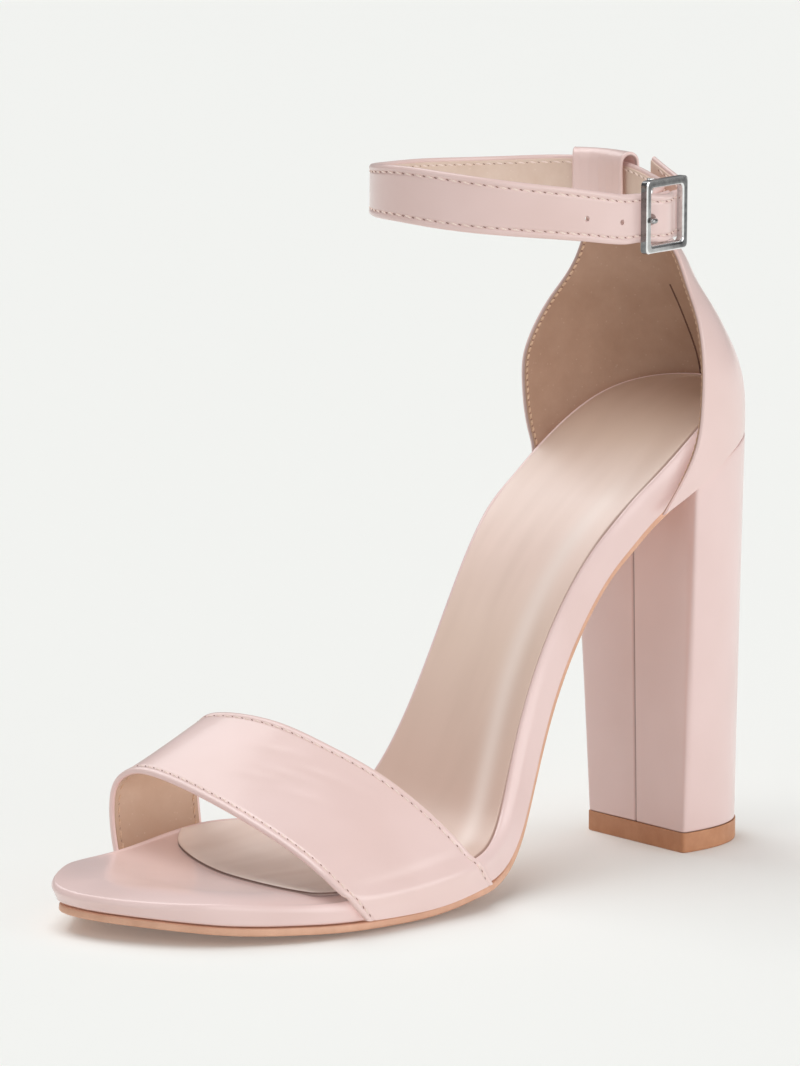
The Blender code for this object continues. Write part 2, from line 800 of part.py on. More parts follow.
def build_strap():
    mid, n = STRAP_LINE, STRAP_OUT
    w, e = STRAP_WALL / 2, STRAP_EDGE
    widths = Spline([r[0] for r in STRAP_WIDTHS], [r[1] for r in STRAP_WIDTHS])(STRAP_RUN)
    up = np.array([0, 0, 1.0])
    bm = bmesh.new()
    loops = []
    for p, q, width in zip(mid, n, widths):
        h = width / 2
        corners = [(-w, -h + e), (-w, h - e), (-w + e, h), (w - e, h)]
        corners += [(-a, -b) for a, b in corners]
        loops.append([place(bm, p + q * a + up * b) for a, b in corners])
    for a, b in zip(loops[:-1], loops[1:]):
        bridge(bm, a, b)
    bm.faces.new(loops[0])
    bm.faces.new(loops[-1])
    strap = new_object("ankle_strap", bm, PINK, 0.35)
    bm = bmesh.new()
    bar = -BAR_SET_BACK
    low, high = -PRONG_DROP - PRONG_HOLE / 2, -PRONG_DROP + PRONG_HOLE / 2
    block(bm, 0.9, 4.2, bar - 1.3, bar + 1.3, low, high)
    block(bm, 3.1, 6.1, bar + 1.5, 3.0, low, high)
    cutter = new_object("prong_hole", bm, PINK, 0.35)
    cutter.hide_render = True
    cutter.display_type = "WIRE"
    cut = strap.modifiers.new("hole", "BOOLEAN")
    cut.operation = "DIFFERENCE"
    cut.solver = "EXACT"
    cut.object = cutter
    return strap


ankle_strap = build_strap()


# Counter, its top tab folded over the strap
section_at = Spline([r[0] for r in COUNTER_SECTIONS], [r[1:] for r in COUNTER_SECTIONS])
front_at = Spline([r[0] for r in COUNTER_FRONT], [r[1:] for r in COUNTER_FRONT])
SLOT = STRAP_WALL / 2 + 0.45
FOLD = SLOT + COUNTER_WALL


def counter_seat(x):
    return float(seat_height(x)) + 0.1 + COUNTER_LIFT * float(ramp(x, *COUNTER_RAMP))


def wall_point(z, side, f):
    """Point of the counter's outer face: side -1 inner, +1 outer; f 0 at the back, 1 at the front edge."""
    back, depth, half, mid = section_at(z)
    edge = float(front_at(z)[0 if side < 0 else 1])
    centre = back + depth
    turn = math.acos(np.clip((centre - min(edge, centre)) / depth, 0, 1))
    arc_end = turn * (depth + half) / 2
    flat = max(edge - centre, 0.0)
    s = f * (arc_end + flat)
    if s <= arc_end:
        a = turn * s / arc_end
        return np.array([centre - depth * math.cos(a), mid + side * half * math.sin(a), z])
    x = centre + s - arc_end
    beside = side * (abs(float(edge_y(x, side > 0))) - SEAT_INSET + GAP + COUNTER_WALL)
    close = ramp(x, *COUNTER_RAMP) * smooth((float(footbed(x, 0.0)) + 3.0 - z) / 7.0)
    return np.array([x, (mid + side * half) * (1 - close) + beside * close, z])


def counter_face(across, up):
    cols = np.linspace(-1, 1, across)
    top = COUNTER_SECTIONS[-1][0]
    grid = []
    for v in np.linspace(0, 1, up):
        row = []
        for c in cols:
            side, f = (-1, -c) if c < 0 else (1, c)
            x = 20.0
            for _ in range(12):
                low = counter_seat(x)
                z = low + (top - low) * v
                p = wall_point(z, side, f)
                x = p[0]
            row.append(p)
        grid.append(row)
    here = np.linalg.norm(STRAP_LINE[:, :2] - np.array(LOOP_POINT), axis=1).argmin()
    run = STRAP_RUN
    fold_z = STRAP_LINE[here][2] + STRAP_WIDTH / 2 - 0.7
    path = [(FOLD, 161.0), (FOLD, 166.0), (FOLD, fold_z)]
    for k in range(1, 8):
        a = math.pi * k / 8
        path.append((FOLD * math.cos(a), fold_z + FOLD * math.sin(a)))
    path += [(-FOLD, fold_z), (-FOLD, 166.0), (-FOLD, LOOP_FOLD_END)]
    tab = []
    for out, z in path:
        row = []
        for c in cols:
            s = run[here] - LOOP_SHIFT - c * LOOP_WIDTH / 2
            p = np.array([np.interp(s, run, STRAP_LINE[:, k]) for k in (0, 1)])
            n = np.array([np.interp(s, run, STRAP_OUT[:, k]) for k in (0, 1)])
            p = p + n / np.linalg.norm(n) * out
            row.append((p[0], p[1], z))
        tab.append(row)
    return np.array(grid + tab)


counter = sheet("counter", counter_face(27, 17), COUNTER_WALL, PINK, 0.35)


# Prong, bent from the bar up through the strap
def build_prong():
    curve, t = path_through(PRONG_PATH)
    mid = even(curve, t[0], t[-1], 12)
    d = np.gradient(mid, axis=0)
    d /= np.linalg.norm(d, axis=1)[:, None]
    bm = bmesh.new()
    loops = []
    for i, (p, q) in enumerate(zip(mid, d)):
        r = PRONG_RADIUS * (0.8 if i == len(mid) - 1 else 1.0)
        loop = []
        for k in range(8):
            s = 2 * math.pi * (k + 0.5) / 8
            side = r * math.cos(s)
            z = r * math.sin(s) - PRONG_DROP
            loop.append(place(bm, at_buckle(p[0] - q[1] * side, p[1] + q[0] * side, z)))
        loops.append(loop)
    for a, b in zip(loops[:-1], loops[1:]):
        bridge(bm, a, b)
    bm.faces.new(loops[0])
    bm.faces.new(loops[-1])
    return new_object("buckle_prong", bm, METAL, 0.2, 1.0)


buckle_prong = build_prong()
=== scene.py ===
# Looks of the left ankle-strap sandal: leather, lining, stitching, sock, sole and buckle.
# Sizes are millimetres in the shoe's own frame: x forward from the back of the footbed,
# y to the wearer's left, z up from the floor.
import math

import bmesh
import bpy
import numpy as np
from mathutils import Matrix, Vector


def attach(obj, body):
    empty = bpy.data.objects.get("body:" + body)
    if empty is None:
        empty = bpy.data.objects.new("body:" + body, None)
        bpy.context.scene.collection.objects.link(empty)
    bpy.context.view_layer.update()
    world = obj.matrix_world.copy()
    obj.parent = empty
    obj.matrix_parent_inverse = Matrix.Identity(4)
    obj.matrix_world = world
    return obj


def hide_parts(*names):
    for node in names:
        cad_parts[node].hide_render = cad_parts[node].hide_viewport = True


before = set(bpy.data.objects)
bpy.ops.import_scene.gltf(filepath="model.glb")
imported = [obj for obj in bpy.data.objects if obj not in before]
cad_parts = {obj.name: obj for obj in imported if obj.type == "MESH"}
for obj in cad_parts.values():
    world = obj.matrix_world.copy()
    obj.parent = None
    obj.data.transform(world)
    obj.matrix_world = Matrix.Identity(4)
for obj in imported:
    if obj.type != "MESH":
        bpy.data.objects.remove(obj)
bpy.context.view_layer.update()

MM = 0.001
ORIGIN = np.array((100.5, -1.75, 0.0))
GAP = 0.35

# Sole
FOOTBED_LENGTH = 203.9
TOE_POINT_Y = -12.3
OUTSOLE = 1.9
SOCK_INSET = 1.7
SOCK_CORNER = 3.5
SOCK_FRONT = 162.4
SOCK_FRONT_Y = 20.0
SOCK_FRONT_BENDS = (0.0043, 0.017)
SOCK_END_Y = -28.0
SOCK_END_BEND = 0.08
TOE_DROP = 2.0
TOE_DROP_WIDTH = 12.0
TOE_DROP_SKEW = 0.35
TOE_DROP_INNER = 0.15
TOE_DROP_SIDE = (-30.0, 18.0)
TOE_CURL = 1.2
TOE_CURL_SIDE = 30.0
TIP_FALL = 1.4
TIP_FALL_SIDE = (-26.0, 20.0)
TOE_SLOPE = 0.16
OUTER_RISE = 1.0
BALL_SKEW = 0.16
BALL_HALF = 36.0
INNER_LIFT = 6.0
INNER_LIFT_X = 134.0
INNER_LIFT_LENGTH = 24.0
OUTSOLE_BACK = 35.0
SEAT_INSET = 1.3
OUTSOLE_TOE_INSET = 1.9
OUTSOLE_SHANK_INSET = 1.5
# where one shape of the sole passes into the next: from x, over
BALL_SKEW_RAMP = (50.0, 70.0)
OUTER_RISE_IN = (100.0, 15.0)
OUTER_RISE_OUT = (165.0, 25.0)
TOE_DROP_RAMP = (150.0, 26.0)
TOE_CURL_RAMP = (140.0, 45.0)
TIP_FALL_RAMP = (183.0, 20.0)
TOE_INSET_RAMP = (172.0, 26.0)
SEAT_RAMP = (45.0, 12.0)
SHANK_RAMP = (88.0, 24.0)
SOCK_CORNER_RAMP = (132.0, 18.0)
COUNTER_RAMP = (30.0, 10.0)
# x, thickness of the platform
PLATFORM_DEPTH = (
    (0.0, 10.2), (15.0, 10.1), (30.0, 9.1), (45.0, 8.4), (85.0, 8.4), (102.0, 7.8), (120.0, 7.1),
    (160.0, 7.1), (204.0, 7.1),
)
# x, height of the footbed on the centre line
PROFILE = (
    (0.0, 115.7), (19.0, 110.2), (42.5, 95.0), (61.0, 78.8), (80.0, 48.9), (99.0, 18.9),
    (115.0, 11.9), (132.0, 9.4), (151.0, 9.2), (170.0, 10.2), (203.9, 14.2),
)
# x, inner edge y, outer edge y
OUTLINE = (
    (3.8, -12.3, 12.1), (13.2, -20.3, 20.3), (30.2, -24.6, 24.4), (51.9, -24.0, 22.8),
    (80.2, -18.6, 19.4), (105.6, -22.2, 31.5), (136.0, -34.5, 36.2), (160.7, -36.7, 35.6),
    (180.8, -32.3, 27.5), (195.5, -22.8, 15.2),
)

# Heel
TIP_HEIGHT = 5.0
HEEL_TURN = -5.0
HEEL_TURN_X = 23.6
# breast x, back x, half width at the breast, roundness of the sides
HEEL_FLOOR = (25.3, -2.6, 18.6, 2.2)
HEEL_SEAT = (27.6, -1.1, 25.0, 2.4)

# Vamp strap
VAMP_WALL = 1.7
VAMP_UPRIGHT = 1.3
VAMP_LEAN = 3.0
VAMP_BASE = 0.28
# x, y, z along the front edge, from the inner base over to the outer base
VAMP_FRONT = (
    (163.3, -39.0, 6.0), (163.3, -41.6, 16.5), (163.3, -40.9, 26.0), (163.3, -37.3, 29.6),
    (163.3, -31.8, 31.4), (163.3, -22.7, 31.2), (163.1, -8.4, 28.8), (162.8, 9.0, 24.7),
    (162.0, 25.9, 19.1), (160.8, 34.6, 14.0), (157.0, 38.0, 8.3), (152.0, 38.3, 2.4),
)
# x, y, z along the rear edge
VAMP_REAR = (
    (137.0, -37.6, 9.0), (137.0, -39.6, 24.0), (136.8, -39.2, 35.0), (136.5, -36.7, 40.5),
    (136.0, -31.8, 42.3), (135.3, -25.2, 42.9), (132.9, -13.4, 42.0), (129.4, 0.5, 38.0),
    (125.2, 13.5, 32.6), (119.8, 26.0, 23.6), (113.2, 32.6, 12.6), (106.5, 32.4, 3.4),
)

# Counter and its loop
COUNTER_WALL = 1.5
# z, back x, depth of the round back, half width, centre y
COUNTER_SECTIONS = (
    (84.0, -2.0, 32.2, 26.5, 0.0), (105.0, -2.0, 32.2, 26.6, 0.0), (114.0, -1.6, 32.0, 26.6, 0.0),
    (121.0, 0.4, 31.2, 26.3, 0.0), (128.0, 4.0, 30.0, 25.7, -0.3), (135.0, 7.9, 28.6, 24.3, -1.0),
    (142.5, 11.8, 27.2, 22.0, -2.4), (150.0, 14.6, 26.0, 20.6, -4.6), (156.0, 18.4, 25.0, 18.0, -8.0),
)
# z, front edge x on the inner side, front edge x on the outer side
COUNTER_FRONT = (
    (84.0, 45.0, 43.5), (90.0, 40.6, 39.2), (97.0, 37.6, 34.4), (104.0, 39.0, 31.2),
    (114.0, 40.6, 29.6), (121.0, 40.6, 29.0), (128.0, 37.6, 28.3), (135.0, 33.0, 27.2),
    (142.5, 28.2, 25.8), (150.0, 25.2, 25.2), (156.0, 23.6, 23.6),
)
COUNTER_LIFT = 1.5
LOOP_POINT = (27.0, -11.0)
LOOP_SHIFT = 0.9
LOOP_WIDTH = 18.5
LOOP_FOLD_END = 157.6

# Ankle strap
STRAP_WIDTH = 13.4
STRAP_WALL = 1.6
# run along the strap from its sewn end, width there
STRAP_WIDTHS = (
    (0.0, 11.6), (30.0, 12.0), (60.0, 13.0), (100.0, 13.0), (125.0, 12.5), (142.0, 12.4), (158.0, 13.4),
    (172.0, 13.9), (182.0, 13.6), (195.0, 13.0), (208.0, 12.6), (222.0, 12.2), (238.0, 11.6), (270.0, 11.7),
)
# x, y, height of the strap's middle, round the ankle from the buckle's bar
STRAP_BACK = (
    (39.2, 20.6, 162.5), (33.6, 12.6, 163.1), (29.2, 2.0, 163.9), (27.0, -11.0, 164.4),
    (31.9, -20.4, 164.6), (43.0, -27.0, 164.55), (58.4, -30.2, 165.1), (72.6, -30.0, 165.95),
    (86.0, -26.5, 166.75), (96.9, -20.0, 167.8), (104.0, -11.1, 168.6), (106.5, -1.0, 169.1),
    (104.0, 9.1, 168.45), (96.9, 18.4, 167.15), (86.0, 25.3, 165.65), (72.6, 29.4, 163.8),
)
STRAP_TAIL = ((32.4, 20.4, 162.9), (29.4, 13.4, 164.6), (27.2, 5.8, 166.8))
# a in the buckle's plane, share of the way from under the frame to over the bar, height there
STRAP_WAVE = (
    (14.0, -0.1, 0.0), (9.4, 0.0, -0.15), (6.8, 0.0, -0.4), (3.4, 0.62, -0.7), (0.0, 1.0, -0.8),
    (-3.4, 0.62, -0.85), (-6.8, 0.0, -0.7), (-9.4, 0.0, -0.45),
)
STRAP_HOLES = (209.1, 220.3)     # run along the strap from its sewn end
STRAP_HOLE_RADIUS = 0.7
STRAP_HOLE_DROP = 0.7            # below the strap's middle

# Buckle, in its own plane: a forward, n outward, up
BUCKLE_POINT = (46.7, 29.3, 162.05)
BUCKLE_TURN = 11.5
BUCKLE_SIZE = 17.8
BUCKLE_BAR = 2.0
BUCKLE_CORNER = 1.2
BUCKLE_DEPTH = 2.0
BAR_RADIUS = 0.8
BAR_SET_BACK = 4.3
PRONG_RADIUS = 0.65
PRONG_DROP = 0.8
PRONG_HOLE = 2.9
PRONG_HOLE_PLACE = 4.8
# a, n of the prong's middle line, from the bar out to its rest on the frame
PRONG_PATH = (
    (1.15, -4.3), (2.8, -3.4), (4.3, -1.9), (5.25, 0.2), (6.25, 1.6), (7.6, 1.8), (8.5, 1.75),
)

# Sewing: the lining's and the seam's distance from the edge, the rise of the rolled edge and the depth
# of the groove along the seam, the stitch length, and the half length and half width of the thread and
# of the dark slot after it, a dark piece that paints the shade in the needle hole
LINING = 0.4
COUNTER_LINING = 0.6
LINING_OVERLAP = 0.1     # the leather reaches so far into the lining
VAMP_SEWING = {
    "margin": 0.9, "inset": 2.1, "roll": 0.14, "groove": 0.2,
    "pitch": 3.0, "thread": (1.0, 0.23), "slot": (0.42, 0.13),
}
STRAP_SEWING = {
    "margin": 0.9, "inset": 1.75, "roll": 0.14, "groove": 0.2,
    "pitch": 3.0, "thread": (1.0, 0.23), "slot": (0.42, 0.13),
}
COUNTER_SEWING = {
    "margin": 0.3, "inset": 0.8, "roll": 0.05, "groove": 0.0,
    "pitch": 1.7, "thread": (0.78, 0.32), "slot": (0.26, 0.26),
}


# Curves through the tables
def second_derivatives(t, v, closed):
    """Second derivatives of the cubic through v at t, with free ends or closed on itself."""
    n = len(t)
    h = np.diff(t)
    a = np.zeros((n, n))
    r = np.zeros((n,) + v.shape[1:])
    for i in range(1, n - 1):
        a[i, i - 1], a[i, i], a[i, i + 1] = h[i - 1], 2 * (h[i - 1] + h[i]), h[i]
        r[i] = 6 * ((v[i + 1] - v[i]) / h[i] - (v[i] - v[i - 1]) / h[i - 1])
    a[0, 0] = 1.0
    a[n - 1, n - 1] = 1.0
    if closed:
        a[0, 0], a[0, 1], a[0, n - 2] = 2 * (h[-1] + h[0]), h[0], h[-1]
        r[0] = 6 * ((v[1] - v[0]) / h[0] - (v[-1] - v[-2]) / h[-1])
        a[n - 1, 0], a[n - 1, n - 1] = 1.0, -1.0
    return np.linalg.solve(a, r.reshape(n, -1)).reshape(r.shape)


class Spline:
    """Cubic through the rows of a table."""

    def __init__(self, t, v, closed=False):
        self.t = np.asarray(t, float)
        self.v = np.asarray(v, float)
        self.m = second_derivatives(self.t, self.v, closed)

    def __call__(self, s, column=None):
        """Values at s; with column, each s reads its own column of the table."""
        s = np.clip(np.asarray(s, float), self.t[0], self.t[-1])
        i = np.clip(np.searchsorted(self.t, s, side="right") - 1, 0, len(self.t) - 2)
        h = self.t[i + 1] - self.t[i]
        a, b = (self.t[i + 1] - s) / h, (s - self.t[i]) / h
        ca, cb = (a**3 - a) * h * h / 6, (b**3 - b) * h * h / 6
        if self.v.ndim > 1:
            a, b, ca, cb = (k[..., None] for k in (a, b, ca, cb))
        low, high = (i, i + 1) if column is None else ((i, column), (i + 1, column))
        return a * self.v[low] + b * self.v[high] + ca * self.m[low] + cb * self.m[high]


def run_of(points):
    """Length along a line of points, from its first."""
    steps = np.linalg.norm(np.diff(points, axis=0), axis=1)
    return np.concatenate([[0.0], np.cumsum(steps)])


def path_through(points, closed=False):
    """A cubic through points, and its parameter at each of them."""
    p = np.asarray(points, float)
    steps = np.sqrt(np.linalg.norm(np.diff(p, axis=0), axis=1))
    t = np.concatenate([[0.0], np.cumsum(steps)])
    return Spline(t, p, closed), t


def even(curve, t0, t1, count):
    """Points at even distances along a curve between two parameters."""
    s = np.linspace(t0, t1, 1201)
    d = run_of(curve(s))
    return curve(np.interp(np.linspace(0, d[-1], count), d, s))


def smooth(x):
    """0 below 0, 1 above 1 and a soft rise between."""
    x = np.clip(x, 0.0, 1.0)
    return x * x * (3 - 2 * x)


def ramp(x, start, over):
    """Soft rise from 0 to 1 that begins at start."""
    return smooth((x - start) / over)


def unit(v):
    return v / np.linalg.norm(v, axis=-1)[..., None]


# Footbed
profile_z = Spline([r[0] for r in PROFILE], [r[1] for r in PROFILE])


def tip_fall(x, y):
    """How much lower the upper face lies at the toe's outer side."""
    return TIP_FALL * ramp(x, *TIP_FALL_RAMP) * ramp(y, *TIP_FALL_SIDE)


def footbed(x, y):
    """Height of the platform's upper face."""
    u = x + BALL_SKEW * y * ramp(x, *BALL_SKEW_RAMP)
    inner = np.clip(-y, 0, None)
    along = np.exp(-(((x - INNER_LIFT_X) / INNER_LIFT_LENGTH) ** 2))
    lift = INNER_LIFT * along * (inner / BALL_HALF) ** 2
    curl = TOE_CURL * ramp(x, *TOE_CURL_RAMP) * ramp(inner, 0.0, TOE_CURL_SIDE)
    over = np.clip(u - FOOTBED_LENGTH, 0, None) * TOE_SLOPE
    return profile_z(u) + lift + curl + over - tip_fall(x, y)


platform_depth = Spline([r[0] for r in PLATFORM_DEPTH], [r[1] for r in PLATFORM_DEPTH])


def underside(x, y):
    """Depth of the platform's underside, which rises to the outer edge beside the ball."""
    beside = (np.clip(y, 0, None) / BALL_HALF) ** 2
    along = ramp(x, *OUTER_RISE_IN) * (1 - ramp(x, *OUTER_RISE_OUT))
    return platform_depth(x) - OUTER_RISE * beside * along - tip_fall(x, y)


def under(x, y, depth):
    """Points the given depth below the footbed, square to it."""
    k = footbed(x + 0.5, y) - footbed(x - 0.5, y)
    c = 1.0 / np.sqrt(1.0 + k * k)
    return np.stack([x + depth * k * c, y, footbed(x, y) - depth * c], -1)


def outline(half):
    """Even points round the sole: from the heel along the outer side to the toe, and back."""
    outer = [(0.0, 0.0)] + [(r[0], r[2]) for r in OUTLINE] + [(FOOTBED_LENGTH, TOE_POINT_Y)]
    inner = [(r[0], r[1]) for r in reversed(OUTLINE)] + [(0.0, 0.0)]
    curve, t = path_through(outer + inner, closed=True)
    toe = len(OUTLINE) + 1
    first = even(curve, t[0], t[toe], half + 1)
    second = even(curve, t[toe], t[-1], half + 1)
    return np.concatenate([first, second[1:-1]])


HALF = 150
RIM = outline(HALF)
rim_steps = np.roll(RIM, -1, axis=0) - np.roll(RIM, 1, axis=0)
INWARD = unit(np.stack([-rim_steps[:, 1], rim_steps[:, 0]], -1))
if ((RIM.mean(axis=0) - RIM) * INWARD).sum() < 0:
    INWARD = -INWARD


def inset(by, more_at_toe=0.0, more_at_shank=0.0):
    """The sole's outline drawn in by so much."""
    d = by + more_at_toe * ramp(RIM[:, 0], *TOE_INSET_RAMP)
    d = d + SEAT_INSET * (1 - ramp(RIM[:, 0], *SEAT_RAMP))
    d = d + more_at_shank * (1 - ramp(RIM[:, 0], *SHANK_RAMP))
    return RIM + INWARD * d[:, None]


def edge_y(x, outer):
    """Side edge of the outline at x."""
    side = RIM[: HALF + 1] if outer else np.concatenate([RIM[HALF:], RIM[:1]])[::-1]
    return np.interp(x, side[:, 0], side[:, 1])


def seat_height(x):
    """Underside of the platform on the centre line."""
    u = np.linspace(-4.0, 90.0, 400)
    p = under(u, 0 * u, platform_depth(u))
    return np.interp(x, p[:, 0], p[:, 2])


# Meshes
def skin_over(name, rows, material, sharp=50.0, tone=None):
    """A closed skin over rows of points, each row a closed loop; tone is stored on its points, for seams,
    painted shade, painted highlights and painted reflections.
    """
    rows = np.concatenate([rows, rows[:, :1]], axis=1)
    count, around = rows.shape[:2]
    bm = bmesh.new()
    shade = bm.verts.layers.float.new("tone")
    bmesh.ops.create_grid(bm, x_segments=around - 1, y_segments=count - 1, size=0.5)
    for v in bm.verts:
        i = round((v.co.y + 0.5) * (count - 1))
        j = round((v.co.x + 0.5) * (around - 1))
        v.co = (rows[i, j] - ORIGIN) * MM
        if tone is not None:
            v[shade] = tone[i, j % (around - 1)]
    bmesh.ops.remove_doubles(bm, verts=bm.verts, dist=2e-6)
    bmesh.ops.dissolve_degenerate(bm, edges=bm.edges, dist=1e-7)
    bmesh.ops.recalc_face_normals(bm, faces=bm.faces)
    return finish_piece(name, bm, material, sharp)


def finish_piece(name, bm, material, sharp=50.0):
    """Makes a bmesh a piece of the shoe."""
    mesh = bpy.data.meshes.new(name)
    bm.to_mesh(mesh)
    bm.free()
    mesh.shade_smooth()
    mesh.set_sharp_from_angle(angle=math.radians(sharp))
    mesh.materials.append(material)
    piece = bpy.data.objects.new(name, mesh)
    bpy.context.scene.collection.objects.link(piece)
    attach(piece, "root")
    return piece


class Surface:
    """A smooth skin through a grid of points: u runs down the rows, v along each row."""

    def __init__(self, points):
        self.points = np.asarray(points, float)
        rows, cols = self.points.shape[:2]
        steps = np.linalg.norm(np.diff(self.points, axis=0), axis=2).mean(axis=1)
        run = np.concatenate([[0.0], np.cumsum(steps)])
        self.u = run / run[-1]
        self.length = run[-1]
        self.v = np.linspace(0, 1, cols)
        self.down = Spline(self.u, self.points.reshape(rows, -1))

    def at(self, us, vs):
        lines = self.down(us).reshape(len(us), -1, 3)
        along = Spline(self.v, lines.transpose(1, 0, 2))
        return along(vs, np.arange(len(us))[:, None])

    def across(self, us):
        """For each station, fine v values and the run to each from v = 0."""
        fine = np.linspace(0, 1, 161)
        p = self.at(us, np.tile(fine, (len(us), 1)))
        return fine, np.stack([run_of(line) for line in p])

    def placed(self, us, distance):
        """Points and outward normals at distances from the v = 0 edge, a row of them per station."""
        fine, runs = self.across(us)
        vs = np.stack([np.interp(d, r, fine) for d, r in zip(distance, runs)])
        e = 2e-3
        du = self.at(us + e, vs) - self.at(us - e, vs)
        dv = self.at(us, vs + e) - self.at(us, vs - e)
        return self.at(us, vs), unit(np.cross(du, dv))


def leather_wall(wall, lining):
    """Thickness of the leather over a lining."""
    return wall - lining + LINING_OVERLAP


ROLL_PLACE = 0.55        # middle and half width of a rolled edge, as shares of the seam's inset
ROLL_WIDTH = 0.27
GROOVE_WIDTH = 0.36


def strip_section(width, wall, sewing, middle):
    """Distance across and height round a strip, outer face first; its edges are turned and rounded."""
    r = wall / 2
    seam = sewing["inset"]
    turn = np.radians(np.linspace(0, 90, 7))
    near = np.concatenate([r - r * np.cos(turn), np.linspace(r + 0.2, seam + 0.9, 11)])
    rise = np.concatenate([r * np.sin(turn), np.full(len(near) - len(turn), r)])
    mid = np.linspace(near[-1], width - near[-1], middle + 2)[1:-1]
    d = np.concatenate([near, mid, (width - near)[::-1]])
    h = np.concatenate([rise, np.full(middle, r), rise[::-1]])
    edge = np.minimum(d, width - d)
    bead = sewing["roll"] * np.exp(-(((edge - seam * ROLL_PLACE) / (seam * ROLL_WIDTH)) ** 2))
    bead = bead - sewing["groove"] * np.exp(-(((edge - seam) / GROOVE_WIDTH) ** 2))
    outer = np.stack([d, h - r + bead * smooth(edge / r)], -1)
    inner = np.stack([d, -h - r], -1)
    return np.concatenate([outer, inner[::-1][1:-1]])


def lining_section(width, wall, sewing, thick, middle):
    """Section of the lining that lies on a strip's inner face, short of its edges."""
    r = thick / 2
    turn = np.radians(np.linspace(0, 90, 4))
    seam = sewing["inset"]
    near = np.concatenate([sewing["margin"] + r - r * np.cos(turn), [seam, seam + 1.5]])
    rise = np.concatenate([r * np.sin(turn), [r, r]])
    mid = np.linspace(near[-1], width - near[-1], middle + 2)[1:-1]
    d = np.concatenate([near, mid, (width - near)[::-1]])
    h = np.concatenate([rise, np.full(middle, r), rise[::-1]])
    top = np.stack([d, h - wall + r], -1)
    low = np.stack([d, -h - wall + r], -1)
    return np.concatenate([top, low[::-1][1:-1]])


def strip(name, skin, stations, section, shape, material, painted_shade=None):
    """A strip of sheet along a surface: its section is wrapped at each station, its ends are closed."""
    _, runs = skin.across(stations)
    loops = np.stack([section(w) for w in runs[:, -1]])
    p, n = skin.placed(stations, loops[..., 0])
    height = loops[..., 1] + shape(stations, loops[..., 0], runs[:, -1:])
    rows = p + n * height[..., None]
    half = loops[..., 1].min() / 2 + loops[..., 1].max() / 2
    ends = [(p[i] + n[i] * half)[None] for i in (0, -1)]
    tone = None
    # painted shade, when given, darkens points of the section
    if painted_shade:
        tone = painted_shade(np.minimum(loops[..., 0], runs[:, -1:] - loops[..., 0]), loops[..., 1])
        tone = np.concatenate([tone[:1], tone, tone[-1:]])
    return skin_over(name, np.concatenate([ends[0], rows, ends[1]]), material, tone=tone)


def plain(stations, distance, width):
    """The shape of a strip without creases."""
    return 0.0 * distance


# Shader graphs
class Value:
    """A socket that can be used in Python sums; every operator adds a Math node."""

    def __init__(self, paint, socket):
        self.paint = paint
        self.socket = socket

    def math(self, operation, other):
        return self.paint.node("Math", {"operation": operation}, {0: self, 1: other})

    def __add__(self, other):
        return self.math("ADD", other)

    def __mul__(self, other):
        return self.math("MULTIPLY", other)

    __radd__ = __add__
    __rmul__ = __mul__


class Paint:
    """A material's node tree, with one method that makes any node."""

    def __init__(self, name):
        self.material = bpy.data.materials.new(name)
        self.material.use_nodes = True
        self.tree = self.material.node_tree
        self.shader = self.tree.nodes["Principled BSDF"]
        self.place = self.node("TexCoord", {}, {}, "Object")

    def node(self, kind, settings, sockets, output=0):
        made = self.tree.nodes.new("ShaderNode" + kind)
        for key, value in settings.items():
            if key == "stops":
                self.set_stops(made.color_ramp, value)
            else:
                setattr(made, key, value)
        for key, value in sockets.items():
            self.feed(made.inputs[key], value)
        return Value(self, made.outputs[output])

    def feed(self, socket, value):
        if isinstance(value, Value):
            self.tree.links.new(value.socket, socket)
        else:
            socket.default_value = value

    def set_stops(self, band, stops):
        while len(band.elements) < len(stops):
            band.elements.new(0.5)
        for element, (position, colour) in zip(band.elements, stops):
            element.position = position
            element.color = colour

    def stretched(self, scale, turn=(0.0, 0.0, 0.0)):
        return self.node("Mapping", {}, {"Vector": self.place, "Scale": scale, "Rotation": turn})

    def noise(self, size_mm, detail=3.0, rough=0.5, where=None):
        scale = 1.0 / (size_mm * MM)
        sockets = {"Vector": where or self.place, "Scale": scale, "Detail": detail, "Roughness": rough}
        return self.node("TexNoise", {}, sockets)

    def cells(self, size_mm):
        sockets = {"Vector": self.place, "Scale": 1.0 / (size_mm * MM)}
        return self.node("TexVoronoi", {"feature": "F1"}, sockets)

    def range(self, value, low, high, to_low=0.0, to_high=1.0):
        sockets = {"Value": value, "From Min": low, "From Max": high, "To Min": to_low, "To Max": to_high}
        return self.node("MapRange", {"clamp": True}, sockets)

    def mix(self, factor, a, b):
        return self.node("Mix", {"data_type": "RGBA"}, {"Factor": factor, 6: a, 7: b}, 2)

    def tone(self):
        """A value stored on the mesh's points: it darkens seams, paints shade and dark reflections, and
        below zero paints a highlight.
        """
        return self.node("Attribute", {"attribute_name": "tone"}, {}, "Fac")

    def bump(self, height, strength, distance_mm, normal=None):
        sockets = {"Height": height, "Strength": strength, "Distance": distance_mm * MM}
        if normal is not None:
            sockets["Normal"] = normal
        return self.node("Bump", {}, sockets)

    def finish(self, **sockets):
        for key, value in sockets.items():
            self.feed(self.shader.inputs[key.replace("_", " ")], value)
        return self.material


def srgb(red, green, blue):
    """A colour as seen on screen, 0 to 255, as the linear colour the shader takes."""
    linear = []
    for c in (red, green, blue):
        c = c / 255.0
        linear.append(c / 12.92 if c <= 0.04045 else ((c + 0.055) / 1.055) ** 2.4)
    return (*linear, 1.0)


# brown of the seams, also used as painted shade
SEAM_AND_SHADE_BROWN = srgb(98, 64, 52)


